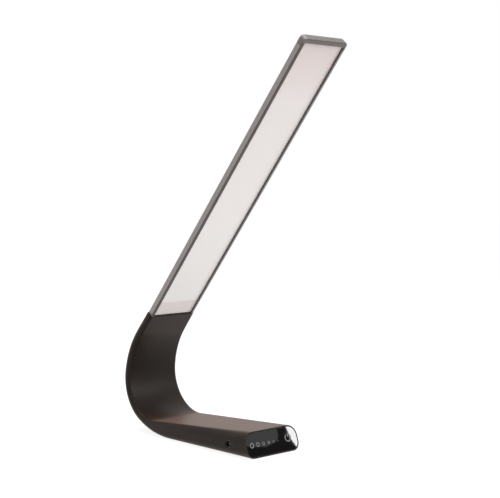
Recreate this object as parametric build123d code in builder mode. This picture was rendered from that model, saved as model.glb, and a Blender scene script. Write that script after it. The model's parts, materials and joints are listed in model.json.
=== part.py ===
from build123d import *
import math
import os

os.makedirs("parts", exist_ok=True)

# Desk lamp with a light panel on a flexible C-shaped arm. Millimetres.
# +Z is up, the front faces -Y and +X runs along the width. The origin is the middle of the foot
# pad's underside. Side profiles are drawn on the YZ plane, where a heading of 0 degrees points
# to the back and 90 degrees points up.

# ---- Driving dimensions: the band that base and arm share ----
BAND_WIDTH = 60.0            # at the collar's end
BASE_WIDTH = 69.0            # at the underside; the sides lean in from there up to the collar
PANEL_HEIGHT = 24.2          # front face, measured upright from the underside
PANEL_SETBACK = 7.5          # how far the top of the front face leans back
TOP_LENGTH = 138.4           # sloping top of the base
TOP_FALL = 3.95              # degrees that the top falls towards the back
BEND_R = 41.2                # inner radius of the tight bend behind the base
BEND_ANGLE = 101.05
NECK_R = 77.0                # inner radius of the gentler bend above it
NECK_ANGLE = 33.0
COLLAR_LENGTH = 26.0         # straight end of the arm that holds the head
ARM_THICKNESS = 8.2
BELLY_R = 110.0              # sweep from the flat underside up into the arm
TOP_EDGE_R = 3.6             # rounding of the long edges on the inner side of the arm
BOTTOM_EDGE_R = 3.9          # rounding of the long edges on the outer side of the arm
FRONT_TOP_R = 12.0           # what the same edges grow to at the front of the base
FRONT_BOTTOM_R = 8.5
FRONT_REACH = 10.0           # from the front's top edge forwards to where the roundings end
BELLY_STEPS = 5              # sections of the base along the belly
COLLAR_EDGE_R = 0.7

# ---- Base shells ----
UNDERSIDE = 0.4              # height of the base's underside above the desk
SKIN_WALL = 1.4
SKIN_FIT = 0.05              # between the skin and the housing inside it
HOUSING_WALL = 1.4
HOUSING_REAR_WALL = 1.6
HOUSING_REAR_GAP = 0.35      # between the housing and the first length of sleeve
PANEL_THICKNESS = 2.2
PANEL_FIT = 0.1
COVER_SIDE_MARGIN = 6.5      # from the band's side to the cover's opening
COVER_START = 9.0            # from the front edge of the underside to the cover's opening
COVER_REAR_MARGIN = 8.2      # from the opening to where the underside starts to sweep up
COVER_FIT = 0.25
COVER_THICKNESS = 2.3
PAD_SIDE_MARGIN = 2.0        # from the cover's opening to the foot pad
PAD_END_MARGIN = 5.0
PAD_THICKNESS = 0.9
PAD_FIT = 0.2
PAD_CORNER_R = 3.0
CUT_REACH = 6.0              # length of a cut that passes through a wall

# ---- Inside the base ----
BALLAST_START = 12.0         # from the front edge of the underside
BALLAST_SIDE_GAP = 5.15      # to the housing's wall
BALLAST_REAR_GAP = 9.2       # to where the underside starts to sweep up
BOSS_X = 15.0
BOSS_R = 3.0
BOSS_JACK_GAP = 2.0          # between the front bosses and the inlet
BOSS_ANCHOR_GAP = 4.6        # between the rear bosses and the anchor plate
COVER_SCREW_R = 1.3
COVER_SCREW_HEAD_R = 2.4
SCREW_TIP_GAP = 0.2          # under the housing's ceiling
SCREW_FIT = 0.05
BOARD_JACK_GAP = 0.65
BOARD_BOSS_GAP = 3.0
BOARD_THICKNESS = 1.6
BOARD_SCREW_SIDE_INSET = 3.0
BOARD_SCREW_END_INSET = 4.0
SPACER_R = 2.2
SPACER_HEIGHT = 2.0
BOARD_SCREW_R = 1.0
BOARD_SCREW_HEAD_R = 1.9
BOARD_SCREW_HEAD = 1.2
BOARD_SCREW_REACH = 3.0      # thread that enters the ballast
INDUCTOR_R = 4.0
INDUCTOR_HEIGHT = 3.6
INDUCTOR_PLACE = (-4.5, 13.0)            # across, and back from the board's front edge
DRIVER_SIZE = (6.0, 5.0, 1.6)
DRIVER_PLACE = (5.5, 14.0)
SOCKET_SIZE = (8.0, 4.0, 2.0)
SOCKET_PLACE = (5.5, 24.0)
CAPACITOR_SIZE = (3.2, 2.5, 1.5)
CAPACITOR_PLACES = ((-7.0, 22.0), (-7.0, 26.5), (-7.0, 31.0))
TOUCH_BOARD_SIDE_GAP = 2.15  # to the housing's wall
TOUCH_BOARD_END_GAP = 2.5    # to the housing's floor and ceiling
TOUCH_BOARD_THICKNESS = 1.2
RIBBON_WIDTH = 10.0
RIBBON_THICKNESS = 0.4
RIBBON_LAP = 2.5             # length that lies flat on each board
RIBBON_RUN_IN = 5.0          # from the main board's edge to the ribbon's bend
RIBBON_BEND_R = 1.2
JACK_START = 29.0            # from the front edge to the inlet's axis
JACK_HEIGHT = 11.1           # inlet's axis above the desk
JACK_WIDTH = 9.0
JACK_BODY_HEIGHT = 9.0
JACK_DEPTH = 11.5
JACK_BORE_R = 2.85
JACK_BORE_DEPTH = 9.5
JACK_PIN_R = 1.0
JACK_PIN_LENGTH = 8.0
JACK_PIN_ROOT_R = 0.8        # thinner root, held in the moulded body behind the bore
JACK_PIN_ROOT = 2.0
JACK_PIN_STEP = 0.3          # from the bore's floor to the pin's full thickness
JACK_NOSE_R = 3.8
JACK_NOSE_FIT = 0.15
JACK_SHELL_WALL = 0.25
JACK_CLEARANCE = 0.6
JACK_WALL_GAP = 1.2          # from the inlet's body to the rounded housing beside it

# ---- Spine: flat steel links with friction pins ----
HINGE_COUNT = 6
SPINE_SIDE_GAP = 12.0        # from the band's side to the spine
WEB_THICKNESS = 2.4
EYE_R = 2.3
EYE_COUNT = 5                # eyes of both links across one hinge
EYE_GAP = 0.35               # round an eye, to the link it turns against
EYE_SIDE_GAP = 0.3
PIN_R = 1.0
PIN_RUNNING_FIT = 0.05
CAVITY_FIT = 0.5             # round the eyes, inside the sleeve
SLEEVE_SIDE_WALL = 2.6
ANCHOR_OVERLAP = 52.0        # how far the anchor plate reaches into the base
ANCHOR_DROP = 0.32           # the anchor plate's middle, below the arm's centreline
ANCHOR_SCREW_X = 12.0
ANCHOR_SCREW_INSETS = (3.5, 13.5)        # from the anchor plate's free end
ANCHOR_SCREW_R = 1.5
ANCHOR_SCREW_HEAD_R = 2.8
ANCHOR_SCREW_TIP_GAP = 1.5   # ballast left under the screw's tip
TONGUE_FIT = 0.3
LEAD_SPINE_GAP = 4.5         # from the spine's side to the lead's axis
LEAD_R = 0.55
LEAD_FIT = 0.3
BASE_LEAD_BEND_R = 3.5
HEAD_LEAD_BEND_R = 2.2

# ---- Head: aluminium tray with a light guide ----
HEAD_SIDE_STEP = 2.25        # from the arm's side in to the head's side
HEAD_THICKNESS = 7.2
HEAD_LENGTH = 346.0
HEAD_SINK = 0.15             # head's front below the arm's front
HEAD_GAP = 0.1
CAP_LENGTH = 9.0
CAP_CORNER_R = 4.0
CAP_WALL = 1.5
BACK_PLATE = 1.0
RAIL_WALL = 1.35
LIP_WIDTH = 2.65
END_LIP = 5.0
RECESS = 2.1                 # from the lips down to the diffuser
FRAME_EDGE_R = 0.8
DIFFUSER_THICKNESS = 1.25
DIFFUSER_UNDER_LIP = 0.5
DIFFUSER_FIT = 0.1
REFLECTOR_THICKNESS = 0.25
GUIDE_FIT = 0.1
ROOT_BLOCK_LENGTH = 18.0
ROOT_SCREW_X = 11.0
ROOT_SCREW_STARTS = (5.0, 13.0)
ROOT_SCREW_R = 1.0
ROOT_SCREW_HEAD_R = 1.8
ROOT_SCREW_BITE = 0.7        # thread in the tray's back plate
LED_BOARD_THICKNESS = 0.7
LED_COUNT = 36
LED_LENGTH = 2.8
LED_HEIGHT = 1.4
LED_DEPTH = 0.65


# ---- Side profile geometry, as (y, z) pairs on the YZ plane ----
def toward(heading):
    """Unit vector along a heading in the side profile."""
    return Vector(math.cos(math.radians(heading)), math.sin(math.radians(heading)))


def left_of(heading):
    """Unit vector to the left of a heading: towards the inside of the arm's bend."""
    return toward(heading + 90)


def crossing(point, direction, other_point, other_direction):
    """Where two lines of the side profile meet."""
    turn = direction.X * other_direction.Y - direction.Y * other_direction.X
    gap = other_point - point
    along = (gap.X * other_direction.Y - gap.Y * other_direction.X) / turn
    return point + direction * along


def circle_exit(point, direction, centre, radius):
    """Where a ray that starts inside a circle leaves it."""
    gap = point - centre
    nearest = -gap.dot(direction)
    reach = math.sqrt(nearest**2 - gap.dot(gap) + radius**2)
    return point + direction * (nearest + reach)


START_HEADING = -TOP_FALL
BEND_HEADING = START_HEADING + BEND_ANGLE
END_HEADING = BEND_HEADING + NECK_ANGLE

# The belly arc touches the flat underside and the outside of the tight bend.
panel_rise = Vector(PANEL_SETBACK, PANEL_HEIGHT)
bend_rise = panel_rise + toward(START_HEADING) * TOP_LENGTH + left_of(START_HEADING) * BEND_R
belly_reach = BELLY_R - BEND_R - ARM_THICKNESS
belly_heading = math.degrees(math.acos((BELLY_R - bend_rise.Y) / belly_reach))
underside_length = bend_rise.X - belly_reach * math.sin(math.radians(belly_heading))
cover_width = BAND_WIDTH - 2 * COVER_SIDE_MARGIN
cover_length = underside_length - COVER_START - COVER_REAR_MARGIN
front_y = -(COVER_START + cover_length / 2)
panel_foot = Vector(front_y, UNDERSIDE)
panel_top = panel_foot + panel_rise
panel_up = panel_rise.normalized()
panel_out = Vector(-panel_up.Y, panel_up.X)
belly_start = panel_foot + Vector(underside_length, 0)
belly_centre = belly_start + Vector(0, BELLY_R)
bend_centre = panel_foot + bend_rise
bend_start = bend_centre - left_of(START_HEADING) * BEND_R
bend_end = bend_centre - left_of(BEND_HEADING) * BEND_R
neck_centre = bend_end + left_of(BEND_HEADING) * NECK_R
neck_end = neck_centre - left_of(END_HEADING) * NECK_R
collar_end = neck_end + toward(END_HEADING) * COLLAR_LENGTH
side_lean = (BASE_WIDTH - BAND_WIDTH) / 2 / (collar_end.Y - UNDERSIDE)


def half_width(height):
    """Half the band's width at a height above the desk."""
    return BASE_WIDTH / 2 - (height - UNDERSIDE) * side_lean


# The centreline runs half the arm's thickness below the inner surface.
bend_length = math.radians(BEND_ANGLE) * (BEND_R + ARM_THICKNESS / 2)
neck_length = math.radians(NECK_ANGLE) * (NECK_R + ARM_THICKNESS / 2)
flex_length = bend_length + neck_length
hinge_pitch = flex_length / HINGE_COUNT


def centreline(distance):
    """Point and heading on the arm's centreline, from the start of the tight bend."""
    if distance < 0:
        start = bend_start - left_of(START_HEADING) * ARM_THICKNESS / 2
        return start + toward(START_HEADING) * distance, START_HEADING
    if distance < bend_length:
        heading = START_HEADING + BEND_ANGLE * distance / bend_length
        return bend_centre - left_of(heading) * (BEND_R + ARM_THICKNESS / 2), heading
    if distance < flex_length:
        heading = BEND_HEADING + NECK_ANGLE * (distance - bend_length) / neck_length
        return neck_centre - left_of(heading) * (NECK_R + ARM_THICKNESS / 2), heading
    start = neck_end - left_of(END_HEADING) * ARM_THICKNESS / 2
    return start + toward(END_HEADING) * (distance - flex_length), END_HEADING


def hinge_point(number):
    """Axis of a spine hinge in the side profile; hinges are numbered from 1 at the base."""
    return centreline((number - 0.5) * hinge_pitch)[0]


def pair(vector):
    """A side-profile point or direction as a pair of numbers."""
    return (vector.X, vector.Y)


def side_point(x, point):
    """The 3D point over a side-profile point."""
    return Vector(x, point.X, point.Y)


def edges_over(part, points):
    """The part's edges nearest to profile points on both of its side faces."""
    return [
        part.edges().sort_by_distance(side_point(side * half_width(point.Y), point))[0]
        for side in (-1, 1)
        for point in points
    ]


def middle(line):
    """The middle of a profile line, as a (y, z) vector."""
    found = line @ 0.5
    return Vector(found.X, found.Y)


# ---- Band: the whole outer form of base and arm, cut into its pieces further down ----
with BuildPart() as band:
    with BuildSketch(Plane.YZ):
        with BuildLine():
            top_line = Line(panel_top, bend_start)
            bend_line = JernArc(bend_start, toward(START_HEADING), BEND_R, BEND_ANGLE)
            neck_line = JernArc(bend_end, toward(BEND_HEADING), NECK_R, NECK_ANGLE)
            collar_line = Line(neck_end, collar_end)
            collar_back = collar_end - left_of(END_HEADING) * ARM_THICKNESS
            Line(collar_end, collar_back)
            neck_back_end = collar_back - toward(END_HEADING) * COLLAR_LENGTH
            collar_back_line = Line(collar_back, neck_back_end)
            neck_back_line = JernArc(
                neck_back_end, -toward(END_HEADING), NECK_R + ARM_THICKNESS, -NECK_ANGLE
            )
            bend_back_end = bend_end - left_of(BEND_HEADING) * ARM_THICKNESS
            bend_back_line = JernArc(
                bend_back_end,
                -toward(BEND_HEADING),
                BEND_R + ARM_THICKNESS,
                belly_heading - BEND_HEADING,
            )
            belly_end = bend_centre - left_of(belly_heading) * (BEND_R + ARM_THICKNESS)
            belly_line = JernArc(belly_end, -toward(belly_heading), BELLY_R, -belly_heading)
            bottom_line = Line(belly_start, panel_foot)
            Line(panel_foot, panel_top)
        make_face()
    extrude(amount=BASE_WIDTH, both=True)
    with BuildSketch(Plane.XZ):
        top_half_width = half_width(2 * collar_end.Y)
        Polygon(
            (-BASE_WIDTH / 2, UNDERSIDE),
            (BASE_WIDTH / 2, UNDERSIDE),
            (top_half_width, 2 * collar_end.Y),
            (-top_half_width, 2 * collar_end.Y),
            align=None,
        )
    extrude(amount=2 * TOP_LENGTH, both=True, mode=Mode.INTERSECT)
    inner_lines = (top_line, bend_line, neck_line, collar_line)
    outer_lines = (collar_back_line, neck_back_line, bend_back_line, belly_line, bottom_line)
    fillet(edges_over(band, [middle(line) for line in inner_lines]), TOP_EDGE_R)
    fillet(edges_over(band, [middle(line) for line in outer_lines]), BOTTOM_EDGE_R)


def save(builder, name):
    """Label a finished piece and write it."""
    builder.part.label = name
    export_step(builder.part, f"parts/{name}.step")


# ---- Base: a skin over a housing, both inset copies of the band's base ----
def front_corners(inset, front):
    """Lower and upper ends of a line parallel to the front face, within an inset outline."""
    foot = panel_foot - panel_out * front
    ceiling_point = panel_top - left_of(START_HEADING) * inset
    low = crossing(foot, panel_up, Vector(0, UNDERSIDE + inset), Vector(1, 0))
    high = crossing(foot, panel_up, ceiling_point, toward(START_HEADING))
    return low, high


def front_slab(start, end):
    """A slab parallel to the front face, between two depths behind it."""
    with BuildPart() as slab:
        with BuildSketch(Plane.YZ):
            Polygon(
                panel_foot - panel_out * start - panel_up * PANEL_HEIGHT,
                panel_foot - panel_out * start + panel_up * PANEL_HEIGHT * 2,
                panel_foot - panel_out * end + panel_up * PANEL_HEIGHT * 2,
                panel_foot - panel_out * end - panel_up * PANEL_HEIGHT,
                align=None,
            )
        extrude(amount=BASE_WIDTH, both=True)
    return slab.part


def base_block(inset, front, rear):
    """The base's form with its skin peeled off by an inset, and its ends moved inwards."""
    belly_distance = (belly_start.X - panel_top.X) / toward(START_HEADING).X
    belly_step = (TOP_LENGTH - rear - belly_distance) / BELLY_STEPS
    stations = [belly_distance + belly_step * step for step in range(BELLY_STEPS + 1)]
    with BuildPart() as block:
        for distance in [-FRONT_REACH] + stations:
            above = panel_top + toward(START_HEADING) * distance
            top = above - left_of(START_HEADING) * inset
            if distance < belly_distance:
                floor = Vector(0, UNDERSIDE + inset)
                low = crossing(top, left_of(START_HEADING), floor, Vector(1, 0))
            else:
                low = circle_exit(top, -left_of(START_HEADING), belly_centre, BELLY_R - inset)
            share = max(TOP_LENGTH - distance, 0) / (TOP_LENGTH + FRONT_REACH)
            depth = (top - low).length
            top_half = half_width(top.Y) - inset
            low_half = half_width(low.Y) - inset
            section_plane = Plane(
                origin=side_point(0, top),
                x_dir=(1, 0, 0),
                z_dir=side_point(0, toward(START_HEADING)),
            )
            with BuildSketch(section_plane) as section:
                Polygon(
                    (-top_half, 0),
                    (top_half, 0),
                    (low_half, depth),
                    (-low_half, depth),
                    align=None,
                )
                top_r = TOP_EDGE_R + (FRONT_TOP_R - TOP_EDGE_R) * share
                bottom_r = BOTTOM_EDGE_R + (FRONT_BOTTOM_R - BOTTOM_EDGE_R) * share
                fillet(section.vertices().sort_by(Axis.Y)[:2], top_r - inset)
                fillet(section.vertices().sort_by(Axis.Y)[-2:], bottom_r - inset)
        loft(ruled=True)
        add(front_slab(-2 * PANEL_HEIGHT, front), mode=Mode.SUBTRACT)
    return block.part


def arm_slice(start, end):
    """A wedge square to the centreline that holds the arm between two distances along it."""
    reach = ARM_THICKNESS * 2
    first, first_heading = centreline(start)
    last, last_heading = centreline(end)
    with BuildPart() as wedge:
        with BuildSketch(Plane.YZ):
            Polygon(
                first + left_of(first_heading) * reach,
                last + left_of(last_heading) * reach,
                last - left_of(last_heading) * reach,
                first - left_of(first_heading) * reach,
                align=None,
            )
        extrude(amount=BAND_WIDTH, both=True)
    return wedge.part


housing_inset = SKIN_WALL + SKIN_FIT
hollow_inset = housing_inset + HOUSING_WALL
hollow_half_width = BAND_WIDTH / 2 - hollow_inset
spine_width = BAND_WIDTH - 2 * SPINE_SIDE_GAP
lead_x = spine_width / 2 + LEAD_SPINE_GAP
base_end = centreline(0)[0]
anchor_middle = base_end.Y - ANCHOR_DROP
anchor_start = base_end.X - ANCHOR_OVERLAP
ballast_floor = UNDERSIDE + COVER_THICKNESS
ballast_top = anchor_middle - WEB_THICKNESS / 2
board_floor = ballast_top + SPACER_HEIGHT
board_top = board_floor + BOARD_THICKNESS
jack_point = Vector(front_y + JACK_START, JACK_HEIGHT)
jack_face_x = hollow_inset + JACK_WALL_GAP - half_width(JACK_HEIGHT)
jack_end_x = jack_face_x + JACK_DEPTH
front_boss_y = jack_point.X - JACK_WIDTH / 2 - BOSS_JACK_GAP - BOSS_R
rear_boss_y = anchor_start - BOSS_ANCHOR_GAP - BOSS_R

with BuildPart() as base_skin:
    add(base_block(0, 0, 0))
    add(base_block(SKIN_WALL, -SKIN_WALL, -SKIN_WALL), mode=Mode.SUBTRACT)
    with BuildSketch(Plane.XY):
        Rectangle(cover_width, cover_length)
    extrude(amount=UNDERSIDE + SKIN_WALL + SKIN_FIT, mode=Mode.SUBTRACT)
    with BuildSketch(Plane.YZ.offset(-BASE_WIDTH / 2)):
        with Locations(jack_point):
            Circle(JACK_NOSE_R + JACK_NOSE_FIT)
    extrude(amount=CUT_REACH, mode=Mode.SUBTRACT)
save(base_skin, "base_skin")


def ceiling_height(y):
    """Height of the housing's ceiling at a distance back."""
    under_top = panel_top - left_of(START_HEADING) * hollow_inset
    return under_top.Y - (y - under_top.X) * math.tan(math.radians(TOP_FALL))


boss_places = [(x, y) for x in (-BOSS_X, BOSS_X) for y in (front_boss_y, rear_boss_y)]
cover_screw_length = ceiling_height(rear_boss_y) - SCREW_TIP_GAP - PAD_THICKNESS

with BuildPart() as base_housing:
    add(base_block(housing_inset, PANEL_THICKNESS, HOUSING_REAR_GAP))
    add(base_block(hollow_inset, 0, HOUSING_REAR_GAP + HOUSING_REAR_WALL), mode=Mode.SUBTRACT)
    with BuildSketch(Plane.XY):
        Rectangle(cover_width, cover_length)
    extrude(amount=UNDERSIDE + hollow_inset + SKIN_FIT, mode=Mode.SUBTRACT)
    for place in boss_places:
        with BuildSketch(Plane.XY.offset(ballast_top)):
            with Locations(place):
                Circle(BOSS_R)
        extrude(amount=ceiling_height(place[1]) + HOUSING_WALL / 2 - ballast_top)
    with BuildSketch(Plane.XY.offset(ballast_top)):
        with Locations(*boss_places):
            Circle(COVER_SCREW_R + SCREW_FIT)
    extrude(amount=ceiling_height(rear_boss_y) - ballast_top, mode=Mode.SUBTRACT)
    with BuildSketch(Plane.YZ.offset(-BASE_WIDTH / 2)):
        with Locations(jack_point):
            Circle(JACK_NOSE_R + JACK_NOSE_FIT)
    extrude(amount=CUT_REACH, mode=Mode.SUBTRACT)
    with BuildSketch(Plane.XZ.offset(-base_end.X)):
        with Locations((0, anchor_middle)):
            Rectangle(spine_width + 2 * TONGUE_FIT, WEB_THICKNESS + 2 * TONGUE_FIT)
        with Locations((lead_x, base_end.Y)):
            Circle(LEAD_R + LEAD_FIT)
    extrude(amount=CUT_REACH, both=True, mode=Mode.SUBTRACT)
save(base_housing, "base_housing")

panel_inset = SKIN_WALL + PANEL_FIT

with BuildPart() as touch_panel:
    add(base_block(panel_inset, -SKIN_WALL, 0))
    add(front_slab(0, PANEL_THICKNESS), mode=Mode.INTERSECT)
save(touch_panel, "touch_panel")

# The touch board fills the height between the hollow's floor and ceiling behind the panel.
touch_high = front_corners(hollow_inset, PANEL_THICKNESS)[1]
touch_low = front_corners(hollow_inset, PANEL_THICKNESS + TOUCH_BOARD_THICKNESS)[0]
touch_top = (touch_high - panel_foot).dot(panel_up) - TOUCH_BOARD_END_GAP
touch_bottom = (touch_low - panel_foot).dot(panel_up) + TOUCH_BOARD_END_GAP
touch_middle = panel_foot + panel_up * (touch_top + touch_bottom) / 2
panel_back = Plane(
    origin=side_point(0, touch_middle - panel_out * PANEL_THICKNESS),
    x_dir=(1, 0, 0),
    z_dir=side_point(0, panel_out),
)

with BuildPart() as touch_board:
    with BuildSketch(panel_back):
        Rectangle(2 * (hollow_half_width - TOUCH_BOARD_SIDE_GAP), touch_top - touch_bottom)
    extrude(amount=-TOUCH_BOARD_THICKNESS)
save(touch_board, "touch_board")

board_start = front_boss_y + BOSS_R + BOARD_BOSS_GAP
board_end = rear_boss_y - BOSS_R - BOARD_BOSS_GAP
board_middle_y = (board_start + board_end) / 2
board_half_width = -jack_end_x - BOARD_JACK_GAP

with BuildPart() as touch_ribbon:
    with BuildSketch(Plane.YZ):
        with BuildLine():
            ribbon_start = touch_middle - panel_out * (
                PANEL_THICKNESS + TOUCH_BOARD_THICKNESS + RIBBON_THICKNESS / 2
            )
            ribbon_end = Vector(board_start, board_top + RIBBON_THICKNESS / 2)
            FilletPolyline(
                ribbon_start + panel_up * RIBBON_LAP,
                ribbon_start - panel_up * RIBBON_LAP,
                ribbon_end - Vector(RIBBON_RUN_IN, 0),
                ribbon_end + Vector(RIBBON_LAP, 0),
                radius=RIBBON_BEND_R,
            )
        trace(line_width=RIBBON_THICKNESS)
    extrude(amount=RIBBON_WIDTH / 2, both=True)
save(touch_ribbon, "touch_ribbon")

pad_width = cover_width - 2 * PAD_SIDE_MARGIN
pad_length = cover_length - 2 * PAD_END_MARGIN

with BuildPart() as bottom_cover:
    with BuildSketch(Plane.XY.offset(UNDERSIDE)):
        Rectangle(cover_width - 2 * COVER_FIT, cover_length - 2 * COVER_FIT)
    extrude(amount=COVER_THICKNESS)
    with BuildSketch(Plane.XY.offset(UNDERSIDE)):
        RectangleRounded(pad_width + 2 * PAD_FIT, pad_length + 2 * PAD_FIT, PAD_CORNER_R)
    extrude(amount=PAD_THICKNESS - UNDERSIDE, mode=Mode.SUBTRACT)
    with Locations(*[(x, y, PAD_THICKNESS) for x, y in boss_places]):
        with Locations(Location((0, 0, 0), (180, 0, 0))):
            CounterSinkHole(
                COVER_SCREW_R + SCREW_FIT, COVER_SCREW_HEAD_R + SCREW_FIT, COVER_THICKNESS
            )
save(bottom_cover, "bottom_cover")


def countersunk_screw(places, radius, head_radius, length, plane):
    """Flat-headed screws that point along a plane's -Z from places on that plane."""
    with BuildPart() as screws:
        for place in places:
            with BuildSketch(plane):
                with Locations(place):
                    Circle(head_radius)
            with BuildSketch(plane.offset(radius - head_radius)):
                with Locations(place):
                    Circle(radius)
            loft()
            with BuildSketch(plane):
                with Locations(place):
                    Circle(radius)
            extrude(amount=-length)
    return screws


under_pad = Plane(origin=(0, 0, PAD_THICKNESS), x_dir=(1, 0, 0), z_dir=(0, 0, -1))
cover_screws = countersunk_screw(
    [(x, -y) for x, y in boss_places],
    COVER_SCREW_R,
    COVER_SCREW_HEAD_R,
    cover_screw_length,
    under_pad,
)
save(cover_screws, "cover_screws")

with BuildPart() as foot_pad:
    with BuildSketch(Plane.XY):
        RectangleRounded(pad_width, pad_length, PAD_CORNER_R - PAD_FIT)
    extrude(amount=PAD_THICKNESS)
save(foot_pad, "foot_pad")

# ---- Steel chassis and electronics in the base ----
anchor_places = [
    (x, anchor_start + inset)
    for x in (-ANCHOR_SCREW_X, ANCHOR_SCREW_X)
    for inset in ANCHOR_SCREW_INSETS
]
board_screw_x = board_half_width - BOARD_SCREW_SIDE_INSET
board_screw_places = [
    (x, y)
    for x in (-board_screw_x, board_screw_x)
    for y in (board_start + BOARD_SCREW_END_INSET, board_end - BOARD_SCREW_END_INSET)
]
ballast_front = front_y + BALLAST_START
ballast_rear = belly_start.X - BALLAST_REAR_GAP

with BuildPart() as ballast_plate:
    with BuildSketch(Plane.XY.offset(ballast_floor)):
        with Locations((0, (ballast_front + ballast_rear) / 2)):
            Rectangle(2 * (hollow_half_width - BALLAST_SIDE_GAP), ballast_rear - ballast_front)
        with Locations((jack_end_x + JACK_CLEARANCE, jack_point.X)):
            Rectangle(
                BAND_WIDTH,
                JACK_WIDTH + 2 * JACK_CLEARANCE,
                align=(Align.MAX, Align.CENTER),
                mode=Mode.SUBTRACT,
            )
        with Locations(*boss_places):
            Circle(COVER_SCREW_R + SCREW_FIT, mode=Mode.SUBTRACT)
        with Locations(*board_screw_places):
            Circle(BOARD_SCREW_R + SCREW_FIT, mode=Mode.SUBTRACT)
        with Locations(*anchor_places):
            Circle(ANCHOR_SCREW_R + SCREW_FIT, mode=Mode.SUBTRACT)
    extrude(amount=ballast_top - ballast_floor)
save(ballast_plate, "ballast_plate")

with BuildPart() as main_board:
    with BuildSketch(Plane.XY.offset(board_floor)):
        with Locations((0, board_middle_y)):
            Rectangle(2 * board_half_width, board_end - board_start)
        with Locations(*board_screw_places):
            Circle(BOARD_SCREW_R + SCREW_FIT, mode=Mode.SUBTRACT)
    extrude(amount=BOARD_THICKNESS)
save(main_board, "main_board")

with BuildPart() as board_spacers:
    with BuildSketch(Plane.XY.offset(ballast_top)):
        with Locations(*board_screw_places):
            Circle(SPACER_R)
            Circle(BOARD_SCREW_R + SCREW_FIT, mode=Mode.SUBTRACT)
    extrude(amount=SPACER_HEIGHT)
save(board_spacers, "board_spacers")

with BuildPart() as board_screws:
    with BuildSketch(Plane.XY.offset(board_top)):
        with Locations(*board_screw_places):
            Circle(BOARD_SCREW_HEAD_R)
    extrude(amount=BOARD_SCREW_HEAD)
    with BuildSketch(Plane.XY.offset(ballast_top - BOARD_SCREW_REACH)):
        with Locations(*board_screw_places):
            Circle(BOARD_SCREW_R)
    extrude(amount=board_top - ballast_top + BOARD_SCREW_REACH)
save(board_screws, "board_screws")

with BuildPart() as board_parts:
    with BuildSketch(Plane.XY.offset(board_top)):
        with Locations((INDUCTOR_PLACE[0], board_start + INDUCTOR_PLACE[1])):
            Circle(INDUCTOR_R)
    extrude(amount=INDUCTOR_HEIGHT)
    for (width, length, height), places in (
        (DRIVER_SIZE, (DRIVER_PLACE,)),
        (SOCKET_SIZE, (SOCKET_PLACE,)),
        (CAPACITOR_SIZE, CAPACITOR_PLACES),
    ):
        with BuildSketch(Plane.XY.offset(board_top)):
            with Locations(*[(x, board_start + y) for x, y in places]):
                Rectangle(width, length)
        extrude(amount=height)
save(board_parts, "board_parts")

# ---- Power inlet: moulded body, spring shell and centre pin ----
jack_mouth_x = SKIN_WALL / 2 - half_width(JACK_HEIGHT)
jack_bore_end_x = jack_mouth_x + JACK_BORE_DEPTH

with BuildPart() as jack_body:
    with BuildSketch(Plane.YZ.offset(jack_face_x)):
        with Locations(jack_point):
            Rectangle(JACK_WIDTH, JACK_BODY_HEIGHT)
    extrude(amount=JACK_DEPTH)
    with BuildSketch(Plane.YZ.offset(jack_mouth_x)):
        with Locations(jack_point):
            Circle(JACK_NOSE_R)
    extrude(amount=jack_face_x - jack_mouth_x)
    with BuildSketch(Plane.YZ.offset(jack_mouth_x)):
        with Locations(jack_point):
            Circle(JACK_BORE_R + JACK_SHELL_WALL)
    extrude(amount=JACK_BORE_DEPTH, mode=Mode.SUBTRACT)
    with BuildSketch(Plane.YZ.offset(jack_bore_end_x)):
        with Locations(jack_point):
            Circle(JACK_PIN_ROOT_R)
    extrude(amount=JACK_PIN_ROOT, mode=Mode.SUBTRACT)
save(jack_body, "jack_body")

with BuildPart() as jack_shell:
    with BuildSketch(Plane.YZ.offset(jack_mouth_x)):
        with Locations(jack_point):
            Circle(JACK_BORE_R + JACK_SHELL_WALL)
            Circle(JACK_BORE_R, mode=Mode.SUBTRACT)
    extrude(amount=JACK_BORE_DEPTH)
save(jack_shell, "jack_shell")

with BuildPart() as jack_pin:
    with BuildSketch(Plane.YZ.offset(jack_bore_end_x - JACK_PIN_STEP)):
        with Locations(jack_point):
            Circle(JACK_PIN_R)
    extrude(amount=-JACK_PIN_LENGTH)
    with BuildSketch(Plane.YZ.offset(jack_bore_end_x - JACK_PIN_STEP)):
        with Locations(jack_point):
            Circle(JACK_PIN_ROOT_R)
    extrude(amount=JACK_PIN_STEP + JACK_PIN_ROOT)
save(jack_pin, "jack_pin")

# ---- Spine: anchor plate, links and pins ----
eye_pitch = spine_width / EYE_COUNT
lower_eyes = range(0, EYE_COUNT, 2)      # eyes of the link below a hinge
upper_eyes = range(1, EYE_COUNT, 2)      # eyes of the link above it


def bar(start, end, thickness):
    """A straight bar with round ends between two points of the side profile."""
    run = end - start
    with Locations((start + end) / 2):
        Rectangle(run.length, thickness, rotation=math.degrees(math.atan2(run.Y, run.X)))
    with Locations(start, end):
        Circle(thickness / 2)


def eye_room(point, numbers):
    """The room that some of a hinge's eyes need in the link they turn against."""
    with BuildPart() as room:
        for number in numbers:
            x = (number + 0.5) * eye_pitch - spine_width / 2
            with BuildSketch(Plane.YZ.offset(x)):
                with Locations(point):
                    Circle(EYE_R + EYE_GAP)
            extrude(amount=(eye_pitch + EYE_SIDE_GAP) / 2, both=True)
    return room.part


def hinge_rod(point, radius):
    """A round rod across the spine at a hinge."""
    with BuildPart() as rod:
        with BuildSketch(Plane.YZ):
            with Locations(point):
                Circle(radius)
        extrude(amount=spine_width / 2, both=True)
    return rod


anchor_bend = Vector(base_end.X, anchor_middle)

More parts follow.
